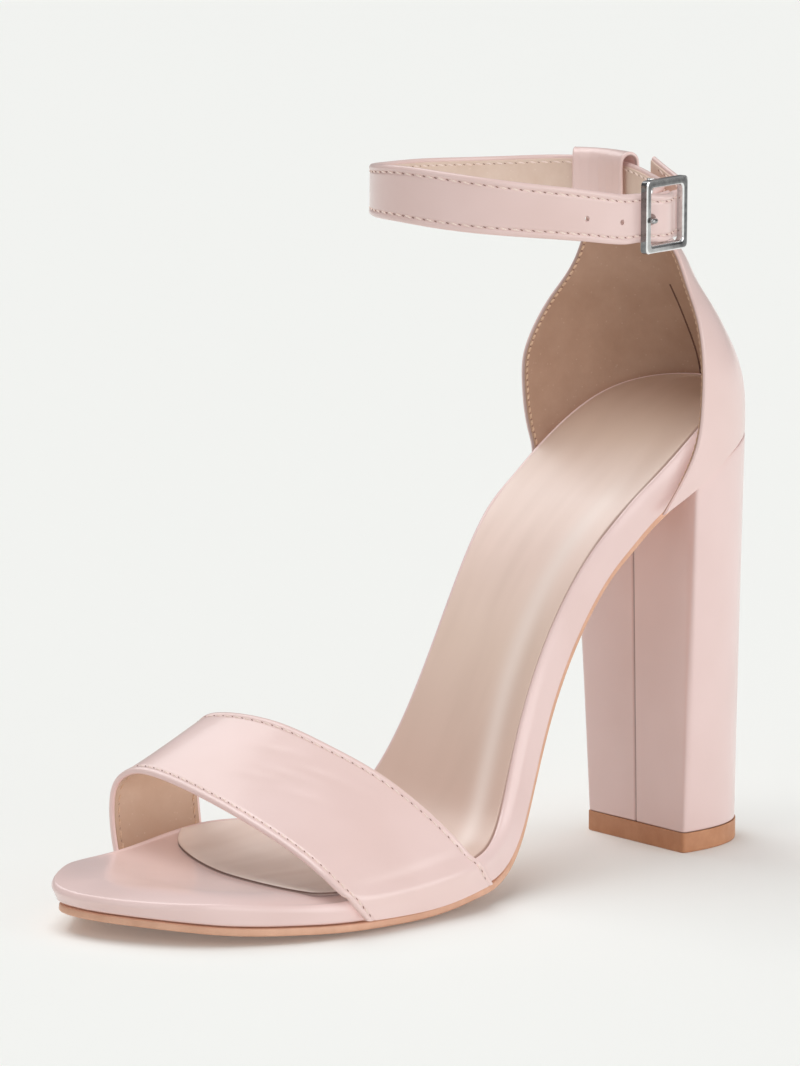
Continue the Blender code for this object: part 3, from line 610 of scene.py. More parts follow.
def leather(name, base, light):
    """Smooth glossy leather: soft clouding, fine pores, a trace of wrinkles; its tone turns it brown in its
    seams and as painted shade along some edges.
    """
    paint = Paint(name)
    cloud = paint.range(paint.noise(26.0, 2.0), 0.35, 0.65)
    colour = paint.mix(paint.tone(), paint.mix(cloud, base, light), SEAM_AND_SHADE_BROWN)
    pores = paint.cells(0.55)
    grain = paint.noise(0.9, 4.0, 0.6)
    wrinkle = paint.noise(4.0, 3.0, 0.55, paint.stretched((1.0, 3.0, 1.6), (0.0, 0.0, 0.5)))
    relief = pores * 0.35 + grain * 0.65
    normal = paint.bump(relief, 0.08, 0.08, paint.bump(wrinkle, 0.1, 0.25))
    rough = paint.range(paint.noise(9.0, 3.0), 0.3, 0.7, 0.3, 0.4)
    return paint.finish(
        Base_Color=colour, Roughness=rough, Normal=normal, Coat_Weight=0.6, Coat_Roughness=0.18,
        Specular_IOR_Level=0.5,
    )


def lining_leather(name, base, dark, speck, low_z=0.0, high_z=0.0, low=None):
    """Dull lining: mottled, with pores and small pale specks; a low colour may come in downwards as painted
    shade.
    """
    paint = Paint(name)
    mottle = paint.range(paint.noise(7.0, 4.0, 0.6), 0.3, 0.7)
    colour = paint.mix(mottle, base, dark)
    if low is not None:
        # painted shade: the low colour darkens the piece towards its foot
        height = paint.node("SeparateXYZ", {}, {"Vector": paint.place}, "Z")
        colour = paint.mix(paint.range(height, low_z * MM, high_z * MM, 1.0, 0.0), colour, low)
    dots = paint.cells(1.7)
    colour = paint.mix(paint.range(dots, 0.05, 0.16, 0.5, 0.0), colour, speck)
    fibre = paint.noise(0.5, 4.0, 0.7)
    normal = paint.bump(fibre, 0.25, 0.1, paint.bump(dots, 0.12, 0.15))
    rough = paint.range(paint.noise(5.0), 0.3, 0.7, 0.5, 0.62)
    return paint.finish(Base_Color=colour, Roughness=rough, Normal=normal, Specular_IOR_Level=0.4)


def sock_leather(name, stops, dark, painted_sheen):
    """Satin sock, its colour set along its length as painted light and shade, with soft streaks down the
    shank, a painted highlight along its outer side and painted shade along its edge.
    """
    paint = Paint(name)
    along = paint.node("SeparateXYZ", {}, {"Vector": paint.place}, "X")
    share = paint.range(along, -ORIGIN[0] * MM, (FOOTBED_LENGTH - ORIGIN[0]) * MM)
    stops = [(x / FOOTBED_LENGTH, colour) for x, colour in stops]
    colour = paint.node("ValToRGB", {"stops": stops}, {"Fac": share})
    streak = paint.noise(9.0, 2.0, 0.5, paint.stretched((0.18, 1.0, 0.18)))
    colour = paint.mix(paint.range(streak, 0.4, 0.75, 0.0, 0.35), colour, dark)
    tone = paint.tone()
    # painted highlight where the tone is below zero
    colour = paint.mix(paint.range(tone, -1.0, 0.0, 0.6, 0.0), colour, painted_sheen)
    # painted shade in brown where the tone is above zero: along the edge and on the underside
    colour = paint.mix(paint.range(tone, 0.0, 1.0), colour, SEAM_AND_SHADE_BROWN)
    grain = paint.noise(0.8, 4.0, 0.6)
    normal = paint.bump(grain, 0.08, 0.08, paint.bump(streak, 0.15, 0.4))
    rough = paint.range(paint.noise(12.0), 0.3, 0.7, 0.32, 0.42)
    return paint.finish(
        Base_Color=colour, Roughness=rough, Normal=normal, Coat_Weight=0.25, Coat_Roughness=0.3,
    )


def sole_rubber(name, base, dark):
    """Tan sole material with a fine moulded grain."""
    paint = Paint(name)
    cloud = paint.range(paint.noise(6.0, 4.0, 0.6), 0.3, 0.7)
    colour = paint.mix(cloud, base, dark)
    normal = paint.bump(paint.noise(0.6, 3.0), 0.2, 0.1)
    rough = paint.range(paint.noise(3.0), 0.3, 0.7, 0.42, 0.55)
    return paint.finish(Base_Color=colour, Roughness=rough, Normal=normal)


def polished_metal(name, base, dark_reflection):
    """Bright plated metal with faint handling marks; its tone paints dark reflections in the dark colour.
    """
    paint = Paint(name)
    marks = paint.range(paint.noise(2.2, 4.0, 0.7), 0.4, 0.75, 0.0, 0.15)
    colour = paint.mix(paint.tone() * 0.85 + marks, base, dark_reflection)
    rough = paint.range(paint.noise(1.4, 4.0), 0.3, 0.8, 0.12, 0.26)
    normal = paint.bump(paint.noise(1.1, 2.0), 0.05, 0.1)
    return paint.finish(Base_Color=colour, Roughness=rough, Metallic=1.0, Normal=normal)


def thread(name, base, dark):
    """Twisted sewing thread."""
    paint = Paint(name)
    twist = paint.noise(0.35, 2.0)
    colour = paint.mix(paint.range(twist, 0.35, 0.65), base, dark)
    return paint.finish(Base_Color=colour, Roughness=0.6, Normal=paint.bump(twist, 0.4, 0.1))


PINK = leather("pink_leather", srgb(232, 203, 197), srgb(237, 209, 204))
# a darker copy of the pink leather, as painted shade on the ankle strap
SHADED_STRAP_PINK = leather("shaded_pink_strap_leather", srgb(226, 197, 191), srgb(232, 204, 199))
COVER = leather("pink_covering", srgb(232, 203, 198), srgb(237, 209, 205))
# the counter's lining: a darker copy of the strap's lining, PALE_LINED, as painted shade
SHADED_LINED = lining_leather("shaded_beige_lining", srgb(178, 144, 122), srgb(169, 134, 112), srgb(198, 168, 147))
PALE_LINED = lining_leather("pale_lining", srgb(227, 205, 190), srgb(218, 193, 176), srgb(238, 220, 207))
# the vamp's lining: a darker copy of the same lining as painted shade, with more painted shade coming in
# towards its foot
SHADED_VAMP_LINED = lining_leather(
    "shaded_vamp_lining_leather", srgb(211, 184, 163), srgb(202, 172, 149), srgb(216, 191, 171),
    low_z=8.0, high_z=24.0, low=srgb(178, 141, 116),
)
# x, colour along the sock: painted light and shade, dark in the heel seat inside the counter, pale down the
# shank, darker towards the ball in the vamp's shade and pale again at the front
SOCK_LIGHT_AND_SHADE_STOPS = (
    (12.0, srgb(178, 147, 127)), (32.0, srgb(214, 187, 169)), (50.0, srgb(240, 217, 206)),
    (63.0, srgb(246, 220, 208)), (76.0, srgb(233, 207, 191)), (95.0, srgb(218, 188, 173)),
    (115.0, srgb(219, 190, 176)), (138.0, srgb(252, 238, 230)),
)
# the last colour is the painted highlight along the sock's outer side
SOCKED = sock_leather("beige_sock", SOCK_LIGHT_AND_SHADE_STOPS, srgb(206, 178, 162), srgb(252, 236, 227))
TAN = sole_rubber("tan_sole", srgb(228, 180, 152), srgb(213, 164, 136))
TIP_TAN = sole_rubber("tan_tip", srgb(203, 146, 108), srgb(188, 130, 93))
# the dark colour paints the dark reflections on the chrome
METAL = polished_metal("bright_metal", srgb(250, 250, 250), srgb(74, 74, 76))
THREAD = thread("pale_thread", srgb(246, 228, 218), srgb(234, 211, 200))
ROPE = thread("gold_thread", srgb(222, 188, 160), srgb(196, 158, 128))
CORD = thread("brown_cord", srgb(106, 71, 54), srgb(88, 58, 44))
# painted shade: colour of the dark pieces that stand for the shade in the needle holes
NEEDLE_SHADE = thread("needle_slot_shade", srgb(150, 112, 98), srgb(132, 96, 83))


# Sole pieces
def drawn_in(ring, fill):
    """A ring drawn in to its middle line: 0 leaves it, 1 closes it."""
    mirror = np.roll(ring[::-1], 1, axis=0)
    return ring * (1 - fill) + (ring + mirror) / 2 * fill


def slab_rows(layers, low=-1.0):
    """Rows round a slab: each layer is a flat ring, a depth and how far it is drawn in."""
    rows = []
    for ring, depth, fill in layers:
        flat = drawn_in(ring, fill)
        below = depth(*flat.T) if callable(depth) else depth + 0 * flat[:, 0]
        p = under(flat[:, 0], flat[:, 1], below)
        p[:, 2] = np.maximum(p[:, 2], low)
        rows.append(p)
    return np.stack(rows)


def fills(count):
    """Shares that open a face from its middle line towards its edge."""
    return np.linspace(1.0, 0.0, count)[:-1]


# distance in from the outline, depth below the footbed: the covering's rolled upper edge
PLATFORM_ROLL = (
    (12.0, 0.0), (10.5, 0.0), (9.0, 0.0), (7.5, 0.0), (6.0, 0.0), (4.8, 0.0), (3.7, 0.0), (2.8, 0.0),
    (1.95, 0.0),
    (1.75, -0.05), (1.58, -0.26), (1.35, -0.46), (1.08, -0.52), (0.8, -0.4), (0.52, -0.05), (0.28, 0.5),
    (0.11, 1.2), (0.02, 2.0), (0.0, 2.6),
)
PLATFORM_LOW_EDGE = 0.8         # rounding of the lower edge
PLATFORM_TAPER = (0.3, 1.1)     # the lower edge lies so far in, and so much more at the toe
PLATFORM_TOE_ROUND = 0.6        # the lower edge's rounding takes so much more at the toe
TOE_TURN = 0.5                  # the edge turns over in so much less height round the toe


def toe_share(x, y):
    """How far the rolled edge has given way to the toe's rounded one."""
    across = TOE_DROP_INNER + (1 - TOE_DROP_INNER) * ramp(y, *TOE_DROP_SIDE)
    return across * ramp(x + TOE_DROP_SKEW * y, *TOE_DROP_RAMP)


def rolled(by, depth):
    """Depth of one row of the rolled edge, which falls away round the toe."""
    fall = TOE_DROP * (1 - by / TOE_DROP_WIDTH) ** 2
    bead, turn = min(depth, 0.0), max(depth, 0.0)

    def at(x, y):
        share = toe_share(x, y)
        return bead * (1 - ramp(x, *TOE_DROP_RAMP)) + turn * (1 - TOE_TURN * share) + fall * share

    return at


def from_below(rise):
    """Depth of a face so far above the platform's underside."""
    return lambda x, y: underside(x, y) - rise


def build_platform():
    low = PLATFORM_LOW_EDGE
    taper, toe_taper = PLATFORM_TAPER
    base = inset(taper + low, toe_taper + PLATFORM_TOE_ROUND)
    side = rolled(*PLATFORM_ROLL[-1])
    layers = [(inset(PLATFORM_ROLL[0][0]), 0.0, f) for f in fills(12)]
    layers += [(inset(by), rolled(by, depth), 0.0) for by, depth in PLATFORM_ROLL]
    for f in np.linspace(0.2, 1.0, 5):
        ring = inset(taper * f, toe_taper * f)
        layers.append((ring, lambda x, y, f=f: side(x, y) * (1 - f) + (underside(x, y) - low) * f, 0.0))
    for a in np.radians(np.linspace(15, 90, 6)):
        draw = low * (1 - math.cos(a))
        ring = inset(taper + draw, toe_taper + PLATFORM_TOE_ROUND * draw / low)
        layers.append((ring, from_below(low - low * math.sin(a)), 0.0))
    layers += [(base, from_below(0.0), f) for f in fills(8)[::-1]]
    layers.append((base, from_below(0.0), 1.0))
    piece = skin_over("platform_cover", slab_rows(layers), COVER)
    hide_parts("platform")


# distance in from the outsole's outline, depth below its upper face
OUTSOLE_EDGE = (
    (0.7, 0.0), (0.42, 0.08), (0.27, 0.22), (0.2, 0.45), (0.2, 0.95), (0.2, OUTSOLE - 0.55),
    (0.3, OUTSOLE - 0.25), (0.5, OUTSOLE - 0.07), (0.7, OUTSOLE),
)


def outsole_ring(by):
    """The outsole's outline, drawn in by so much and cut off at the heel's breast."""
    r = inset(by, OUTSOLE_TOE_INSET, OUTSOLE_SHANK_INSET)
    r[:, 0] = np.maximum(r[:, 0], OUTSOLE_BACK - math.tan(math.radians(HEEL_TURN)) * r[:, 1])
    return r


def build_outsole():
    def depth(below):
        return from_below(-GAP - below)

    face = outsole_ring(OUTSOLE_EDGE[0][0])
    layers = [(face, depth(0.0), f) for f in fills(8)]
    layers += [(outsole_ring(by), depth(below), 0.0) for by, below in OUTSOLE_EDGE]
    layers += [(face, depth(OUTSOLE), f) for f in np.linspace(0.0, 1.0, 9)[1:]]
    piece = skin_over("outsole_sheet", slab_rows(layers, 0.0), TAN)
    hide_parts("outsole")


def sock_front(y):
    """Front edge of the sock."""
    bend = np.where(y < SOCK_FRONT_Y, *SOCK_FRONT_BENDS)
    corner = SOCK_END_BEND * np.clip(SOCK_END_Y - y, 0, None) ** 2
    return SOCK_FRONT - bend * (y - SOCK_FRONT_Y) ** 2 - corner


SOCK_ROUND = 4.0       # rounding of the sock's front corners
SOCK_TOP = 0.75        # the sock's face over the footbed
SOCK_DISH = 0.5        # its middle lies lower than its edges
SOCK_EDGE = 0.3        # rounding of its upper edge
SOCK_EDGE_SHADE_RAMP = (120.0, 20.0)   # painted shade on its edge darkens forward: from x, over
# painted shade on the sock's underside
SOCK_BELOW_SHADE = 0.6
SHEEN_IN = 8.0         # a painted highlight, a paler streak, runs this far in from the outer edge
SHEEN_WIDTH = 3.2
SHEEN_START = (38.0, 20.0)       # the streak comes in: from x, over
SHEEN_END = (105.0, 20.0)        # and goes out


def softened(ring, reach):
    """A closed ring of points with its corners rounded over the given reach."""
    spacing = run_of(np.concatenate([ring, ring[:1]]))[-1] / len(ring)
    span = 24
    weights = np.exp(-0.5 * (np.arange(-span, span + 1) * spacing / reach) ** 2)
    weights /= weights.sum()
    return sum(w * np.roll(ring, k - span, axis=0) for k, w in enumerate(weights))


def sock_ring(by):
    """The sock's outline drawn in by so much."""
    corner = SOCK_CORNER * ramp(RIM[:, 0], *SOCK_CORNER_RAMP) * (RIM[:, 1] > 0)
    r = inset(SOCK_INSET + by + corner)
    r[:, 0] = np.minimum(r[:, 0], sock_front(r[:, 1]) - by)
    return softened(r, SOCK_ROUND)


def painted_sheen(ring, fill):
    """Negative tone for the painted highlight, a streak along the sock's outer side."""
    across = np.abs(ring[:, 1] - np.roll(ring[::-1], 1, axis=0)[:, 1]) / 2
    near = np.exp(-(((across * fill - SHEEN_IN) / SHEEN_WIDTH) ** 2))
    along = ramp(ring[:, 0], *SHEEN_START) * (1 - ramp(ring[:, 0], *SHEEN_END))
    return -near * along * (ring[:, 1] > 0)


def build_sock():
    face = sock_ring(SOCK_EDGE)
    layers = [(face, SOCK_DISH * float(smooth(f / 0.5)) - SOCK_TOP, f) for f in fills(30)]
    tones = [painted_sheen(face, f) for f in fills(30)]
    for a in np.radians(np.linspace(0, 90, 5)):
        ring = sock_ring(SOCK_EDGE - SOCK_EDGE * math.sin(a))
        layers.append((ring, SOCK_EDGE - SOCK_EDGE * math.cos(a) - SOCK_TOP, 0.0))
        # painted shade on the rounded edge, darker towards the front
        tones.append((0.5 + 0.5 * ramp(ring[:, 0], *SOCK_EDGE_SHADE_RAMP)) * float(smooth(a - 0.3)))
    below = np.linspace(0.0, 1.0, 16)
    layers += [(sock_ring(0.0), 0.0, f) for f in below]
    tones += [np.full(len(face), SOCK_BELOW_SHADE)] * len(below)
    piece = skin_over("sock", slab_rows(layers), SOCKED, 40.0, np.stack(tones))
    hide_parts("insole")


# Heel
HEEL_COUNT = 420       # points round the heel
HEEL_EDGE = 0.7        # rounding of the breast's edges
HEEL_TOP_ROUND = 0.5   # rounding of the upper and lower edge of the covering
HEEL_LOW_ROUND = 0.4
SEAM_DEPTH = 0.7       # the seam down the middle of the breast
SEAM_POINTS = 0.9      # its half width, in points of the ring
TIP_LIP = 0.25         # the tip stands out by so much
TIP_EDGE = 0.35        # rounding of its lower edge
TIP_ROWS = (TIP_HEIGHT, TIP_HEIGHT - 0.2, 3.6, 2.2, 0.9, 0.4)


def heel_ring(breast, back, half, power, count):
    """Outline of the heel at one height, its breast edges rounded."""
    s = np.sin(np.linspace(math.pi / 2, 0, 81))
    side = np.stack([breast - (breast - back) * s, half * np.sqrt(np.clip(1 - s**power, 0, None))], -1)
    front = np.stack([np.full(40, breast), np.linspace(half, 0.0, 41)[1:]], -1)
    upper = np.concatenate([side, front])
    ring = np.concatenate([upper, (upper * (1, -1))[::-1][1:]])
    run = run_of(ring)
    even_run = np.linspace(0, run[-1], count + 1)[:-1]
    ring = np.stack([np.interp(even_run, run, ring[:, k]) for k in (0, 1)], -1)
    soft = softened(ring, HEEL_EDGE)
    turn = math.radians(HEEL_TURN)
    x, y = soft[:, 0] - HEEL_TURN_X, soft[:, 1]
    c, s = math.cos(turn), math.sin(turn)
    return np.stack([HEEL_TURN_X + x * c - y * s, x * s + y * c], -1)


low_ring = heel_ring(*HEEL_FLOOR, HEEL_COUNT)
seat_ring = heel_ring(*HEEL_SEAT, HEEL_COUNT)


def build_heel():
    middle = HEEL_COUNT // 2
    seam = np.exp(-(((np.arange(HEEL_COUNT) - middle) / SEAM_POINTS) ** 2))
    top_round, low_round = HEEL_TOP_ROUND, HEEL_LOW_ROUND
    quarter = np.radians((0, 30, 60, 90))
    rows, tones = [], []

    def add(share, fill=0.0, down=0.0, draw=0.0, dark=0.0):
        """A row at a share of the height, drawn in, lowered and darkened by the seam and by painted shade.
        """
        ring = low_ring * (1 - share) + seat_ring * share
        ring = ring + unit(ring.mean(axis=0) - ring) * draw
        ring[:, 0] -= seam * SEAM_DEPTH
        flat = drawn_in(ring, fill)
        top = seat_height(flat[:, 0]) - GAP
        rows.append(np.column_stack([flat, TIP_HEIGHT * (1 - share) + top * share - down]))
        tones.append(np.maximum(seam, dark))

    for f in fills(9):
        add(1.0, f, 0.0, top_round)
    for a in quarter:
        add(1.0, 0.0, top_round - top_round * math.cos(a), top_round - top_round * math.sin(a))
    for share in np.linspace(0.97, 0.012, 30):
        add(share)
    # painted shade darkens the lower edge, in the gap above the tip
    for a in quarter:
        add(0.0, 0.0, -low_round * (1 - math.sin(a)), low_round * (1 - math.cos(a)), math.sin(a))
    for f in fills(6)[::-1]:
        add(0.0, f, 0.0, low_round, 1.0)
    add(0.0, 1.0, 0.0, low_round, 1.0)
    piece = skin_over("heel_cover", np.stack(rows), COVER, 60.0, np.stack(tones))
    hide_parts("heel")


def build_tip():
    rows = []

    def add(z, fill=0.0, draw=0.0):
        """A row at a height, drawn in."""
        ring = low_ring + unit(low_ring.mean(axis=0) - low_ring) * draw
        flat = drawn_in(ring, fill)
        rows.append(np.column_stack([flat, np.full(len(flat), z)]))

    for f in fills(6):
        add(TIP_HEIGHT, f, 0.0)
    for z in TIP_ROWS:
        add(z, 0.0, -TIP_LIP)
    add(0.1, 0.0, -TIP_LIP + 0.1)
    add(0.0, 0.0, -TIP_LIP + TIP_EDGE)
    for f in fills(6)[::-1]:
        add(0.0, f, -TIP_LIP + TIP_EDGE)
    add(0.0, 1.0, 0.0)
    piece = skin_over("heel_tip_sheet", np.stack(rows), TIP_TAN)
    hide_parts("heel_tip")


# Vamp strap
VAMP_FOOT = 0.35       # the strap's ends stay so far above the platform's underside


def base_point(x, outer):
    """Where the strap's end meets the sole's side."""
    y = float(edge_y(x, outer))
    out = 1.0 if outer else -1.0
    foot = under(np.array(x), np.array(y), underside(x, y))
    return np.array([x, y + out * (VAMP_WALL + GAP), float(foot[2]) + VAMP_FOOT])


def vamp_face(across, along):
    """Grid on the strap's outer face, from the inner base over to the outer one."""
    front, tf = path_through(VAMP_FRONT)
    rear, tr = path_through(VAMP_REAR)
    f = even(front, tf[0], tf[-1], across)
    r = even(rear, tr[0], tr[-1], across)
    s = np.linspace(0, 1, across)
    near_inner = np.clip(1 - s / VAMP_BASE, 0, 1) ** 2
    near_outer = np.clip(1 - (1 - s) / VAMP_BASE, 0, 1) ** 2
    grid = np.zeros((across, along, 3))
    for j, v in enumerate(np.linspace(0, 1, along)):
        row = f * (1 - v) + r * v
        inner = base_point(VAMP_FRONT[0][0] * (1 - v) + VAMP_REAR[0][0] * v, False)
        outer = base_point(VAMP_FRONT[-1][0] * (1 - v) + VAMP_REAR[-1][0] * v, True)
        row = row + near_inner[:, None] * (inner - row[0]) + near_outer[:, None] * (outer - row[-1])
        for p in row:
            out = 1.0 if p[1] > 0 else -1.0
            rim = float(edge_y(p[0], out > 0))
            above = max(0.0, p[2] - float(footbed(p[0], rim)) - VAMP_UPRIGHT)
            reach = abs(rim) + GAP + VAMP_WALL - VAMP_LEAN * above
            p[1] = out * max(abs(p[1]), reach)
        grid[:, j] = row
    return grid


vamp_skin = Surface(vamp_face(45, 9))
VAMP_STATIONS = np.linspace(0, 1, 150)
# share along the strap, distance from the front edge, length, width, depth of a soft crease
VAMP_CREASES = (
    (0.52, 14.0, 0.05, 1.6, 0.10),
    (0.57, 20.0, 0.06, 1.8, 0.12),
    (0.61, 26.0, 0.05, 1.5, 0.10),
    (0.64, 17.0, 0.05, 1.7, 0.10),
    (0.49, 24.0, 0.05, 1.6, 0.08),
    (0.70, 30.0, 0.05, 1.6, 0.08),
)
CREASE_LEAN = 2.5      # across the strap, over a crease's length


def vamp_shape(stations, distance, width):
    """Depth of the soft creases."""
    out = 0.0 * distance
    for share, across, length, wide, depth in VAMP_CREASES:
        along = (stations[:, None] - share) / length
        lean = (distance - across - along * CREASE_LEAN) / wide
        out = out - depth * np.exp(-(along**2) - lean**2)
    return out


def build_vamp():
    wall = leather_wall(VAMP_WALL, LINING)
    piece = strip(
        "vamp_leather", vamp_skin, VAMP_STATIONS,
        lambda w: strip_section(w, wall, VAMP_SEWING, 44), vamp_shape, PINK,
    )
    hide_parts("vamp_strap")
    strip(
        "vamp_lining", vamp_skin, VAMP_STATIONS,
        lambda w: lining_section(w, VAMP_WALL, VAMP_SEWING, LINING, 20), plain, SHADED_VAMP_LINED,
    )


# Buckle
buckle_turn = math.radians(BUCKLE_TURN)
B_FORWARD = np.array([math.cos(buckle_turn), math.sin(buckle_turn), 0.0])
B_OUT = np.array([-math.sin(buckle_turn), math.cos(buckle_turn), 0.0])
B_UP = np.array([0.0, 0.0, 1.0])


def at_buckle(a, n, z=0.0):
    """Point in the buckle's own plane."""
    a, n, z = np.broadcast_arrays(a, n, z)
    return np.array(BUCKLE_POINT) + B_FORWARD * a[..., None] + B_OUT * n[..., None] + B_UP * z[..., None]


def rounded_square(half, radius, count):
    """Points round a square with round corners."""
    turn = np.linspace(0, 2 * math.pi, count, endpoint=False) + math.pi / 4
    flat = np.stack([np.cos(turn), np.sin(turn)], -1)
    square = flat / np.abs(flat).max(axis=1)[:, None] * half
    core = np.clip(square, -(half - radius), half - radius)
    return core + unit(square - core) * radius


BAR_END = 0.4          # the centre bar stops so far short of the frame's outer side
ROD_BEVEL = 0.2


def rod(bm, start, end, radius):
    """A round rod between two points, its rims bevelled."""
    a, b = (Vector((np.asarray(p) - ORIGIN) * MM) for p in (start, end))
    turn = (b - a).to_track_quat("Z", "Y").to_matrix().to_4x4()
    place = Matrix.Translation((a + b) / 2) @ turn
    made = bmesh.ops.create_cone(
        bm, cap_ends=True, segments=20, radius1=radius * MM, radius2=radius * MM,
        depth=(b - a).length, matrix=place,
    )
    edges = [e for v in made["verts"] for e in v.link_edges if e.calc_face_angle(0) > 1.0]
    rims = list(dict.fromkeys(edges))
    bmesh.ops.bevel(
        bm, geom=rims, offset=ROD_BEVEL * MM, segments=2, profile=0.5, affect="EDGES", material=-1,
    )


def build_buckle():
    half = BUCKLE_SIZE / 2
    depth = BUCKLE_DEPTH / 2
    # share across the bar from its outer side, height over the middle plane, darkness of the painted dark
    # reflection
    section = (
        (0.0, -depth + 0.25, 0.9), (0.03, -depth + 0.1, 0.8), (0.1, -depth, 0.5), (0.9, -depth, 0.5),
        (0.97, -depth + 0.1, 0.5), (1.0, -depth + 0.25, 0.5), (1.0, depth - 0.45, 0.3),
        (0.97, depth - 0.28, 0.0), (0.86, depth - 0.06, 0.0), (0.82, depth - 0.01, 0.9), (0.5, depth, 1.0),
        (0.2, depth, 0.9), (0.16, depth - 0.01, 0.0), (0.07, depth - 0.06, 0.0), (0.0, depth - 0.24, 0.0),
        (0.0, depth - 0.3, 0.9),
    )
    rows, tones = [], []
    for share, n, dark in section:
        ring = rounded_square(half - BUCKLE_BAR * share, BUCKLE_CORNER, 240)
        rows.append(at_buckle(ring[:, 0], n, ring[:, 1]))
        # painted reflection: the front face is brighter towards its forward lower corner
        lit = smooth((ring[:, 0] - ring[:, 1]) / half - 0.2)
        tones.append(dark * (1 - 0.45 * lit) if n > 0.8 * depth else np.full(len(ring), dark))
    rows.append(rows[0])
    tones.append(tones[0])
    frame_piece = skin_over("buckle_frame_metal", np.stack(rows), METAL, 35.0, np.stack(tones))
    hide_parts("buckle_frame")
    reach = half - BUCKLE_BAR + 0.1
    arm = (reach + half - BAR_END) / 2
    bar = -BAR_SET_BACK
    bars = bmesh.new()
    rod(bars, at_buckle(0.0, bar, -half + BAR_END), at_buckle(0.0, bar, half - BAR_END), BAR_RADIUS)
    for side in (-1, 1):
        back = at_buckle(0.0, bar - BAR_RADIUS * 0.6, side * arm)
        rod(bars, back, at_buckle(0.0, -0.4, side * arm), BAR_RADIUS)
    finish_piece("buckle_bar_metal", bars, METAL, 35.0)


PRONG_SIDES = 16
PRONG_REFLECTION_TONE = 0.7       # painted dark reflection: the prong is darker than the frame


def build_prong():
    curve, t = path_through(PRONG_PATH)
    mid = even(curve, t[0], t[-1], 40)
    along = unit(np.gradient(mid, axis=0))
    turn = np.linspace(0, 2 * math.pi, PRONG_SIDES, endpoint=False)
    rows = []
    for i, (p, d) in enumerate(zip(mid, along)):
        left = (len(mid) - 1 - i) / 4.0
        r = PRONG_RADIUS * (1.0 if left >= 1 else math.sqrt(max(1 - (1 - left) ** 2, 0.0)))
        side = r * np.cos(turn)
        rows.append(at_buckle(p[0] - d[1] * side, p[1] + d[0] * side, r * np.sin(turn) - PRONG_DROP))
    rows.insert(0, np.repeat(rows[0].mean(axis=0)[None], PRONG_SIDES, axis=0))
    tones = np.full((len(rows), PRONG_SIDES), PRONG_REFLECTION_TONE)
    piece = skin_over("prong_metal", np.stack(rows), METAL, 60.0, tones)
    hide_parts("buckle_prong")


# Ankle strap
BAR_CORNER = 1.4142    # the CAD's bar is square: its half diagonal over its half side
BAR_CLEARANCE = 0.2
STRAP_CLEARANCE = 0.35


def strap_line():
    """The strap's middle line, from its sewn end round the bar and the ankle to its free end."""
    bar = -BAR_SET_BACK
    hook = BAR_RADIUS * BAR_CORNER + BAR_CLEARANCE + STRAP_WALL / 2
    turns = [math.pi / 2 - math.pi * k / 6 for k in range(7)]
    # a and n from the bar: the sewn end, the way round the bar and the way out
    loop = [(-7.0, 0.75), (-3.6, hook - 0.35)]
    loop += [(hook * math.cos(t), hook * math.sin(t)) for t in turns]
    loop.append((-3.6, -hook - 0.1))
    start = [at_buckle(a, bar + n, -PRONG_DROP) for a, n in loop]
    over = bar + hook + STRAP_WALL + STRAP_CLEARANCE
    below = -BUCKLE_DEPTH / 2 - STRAP_WALL / 2 - STRAP_CLEARANCE
    end = [at_buckle(a, below + f * (over - below), z) for a, f, z in STRAP_WAVE]
    curve, t = path_through(start + list(STRAP_BACK) + end + list(STRAP_TAIL))
    hook_end = t[len(start) - 1]
    buckle_in = t[len(start) + len(STRAP_BACK)]
    near = even(curve, t[0], hook_end, 22)
    around = even(curve, hook_end, buckle_in, 66)
    far = even(curve, buckle_in, t[-1], 30)
    mid = np.concatenate([near, around[1:], far[1:]])
    d = np.gradient(mid, axis=0)
    return mid, unit(np.stack([d[:, 1], -d[:, 0], 0 * d[:, 0]], -1))


strap_mid, strap_out = strap_line()
strap_face = strap_mid + strap_out * STRAP_WALL / 2
strap_run = run_of(strap_mid)
strap_half = Spline([r[0] for r in STRAP_WIDTHS], [r[1] / 2 for r in STRAP_WIDTHS])(strap_run)
strap_rise = strap_half[:, None] * np.array([0.0, 0.0, 1.0])
strap_skin = Surface(np.stack([strap_face - strap_rise, strap_face + strap_rise], axis=1))
STRAP_STATIONS = np.linspace(0, 1, 300)
DRILL_REACH = 2.5      # to both sides of the strap's middle


def punch(drill, *pieces):
    """Cuts the drill's rods out of the pieces for good."""
    mesh = bpy.data.meshes.new("drill")
    drill.to_mesh(mesh)
    drill.free()
    tool = bpy.data.objects.new("drill", mesh)
    bpy.context.scene.collection.objects.link(tool)
    for piece in pieces:
        cut = piece.modifiers.new("holes", "BOOLEAN")
        cut.operation = "DIFFERENCE"
        cut.solver = "EXACT"
        cut.object = tool
        seen = piece.evaluated_get(bpy.context.evaluated_depsgraph_get())
        whole = piece.data
        piece.data = bpy.data.meshes.new_from_object(seen)
        piece.data.name = piece.name
        piece.modifiers.clear()
        bpy.data.meshes.remove(whole)
        piece.data.set_sharp_from_angle(angle=math.radians(50))
    bpy.data.objects.remove(tool)
    bpy.data.meshes.remove(mesh)


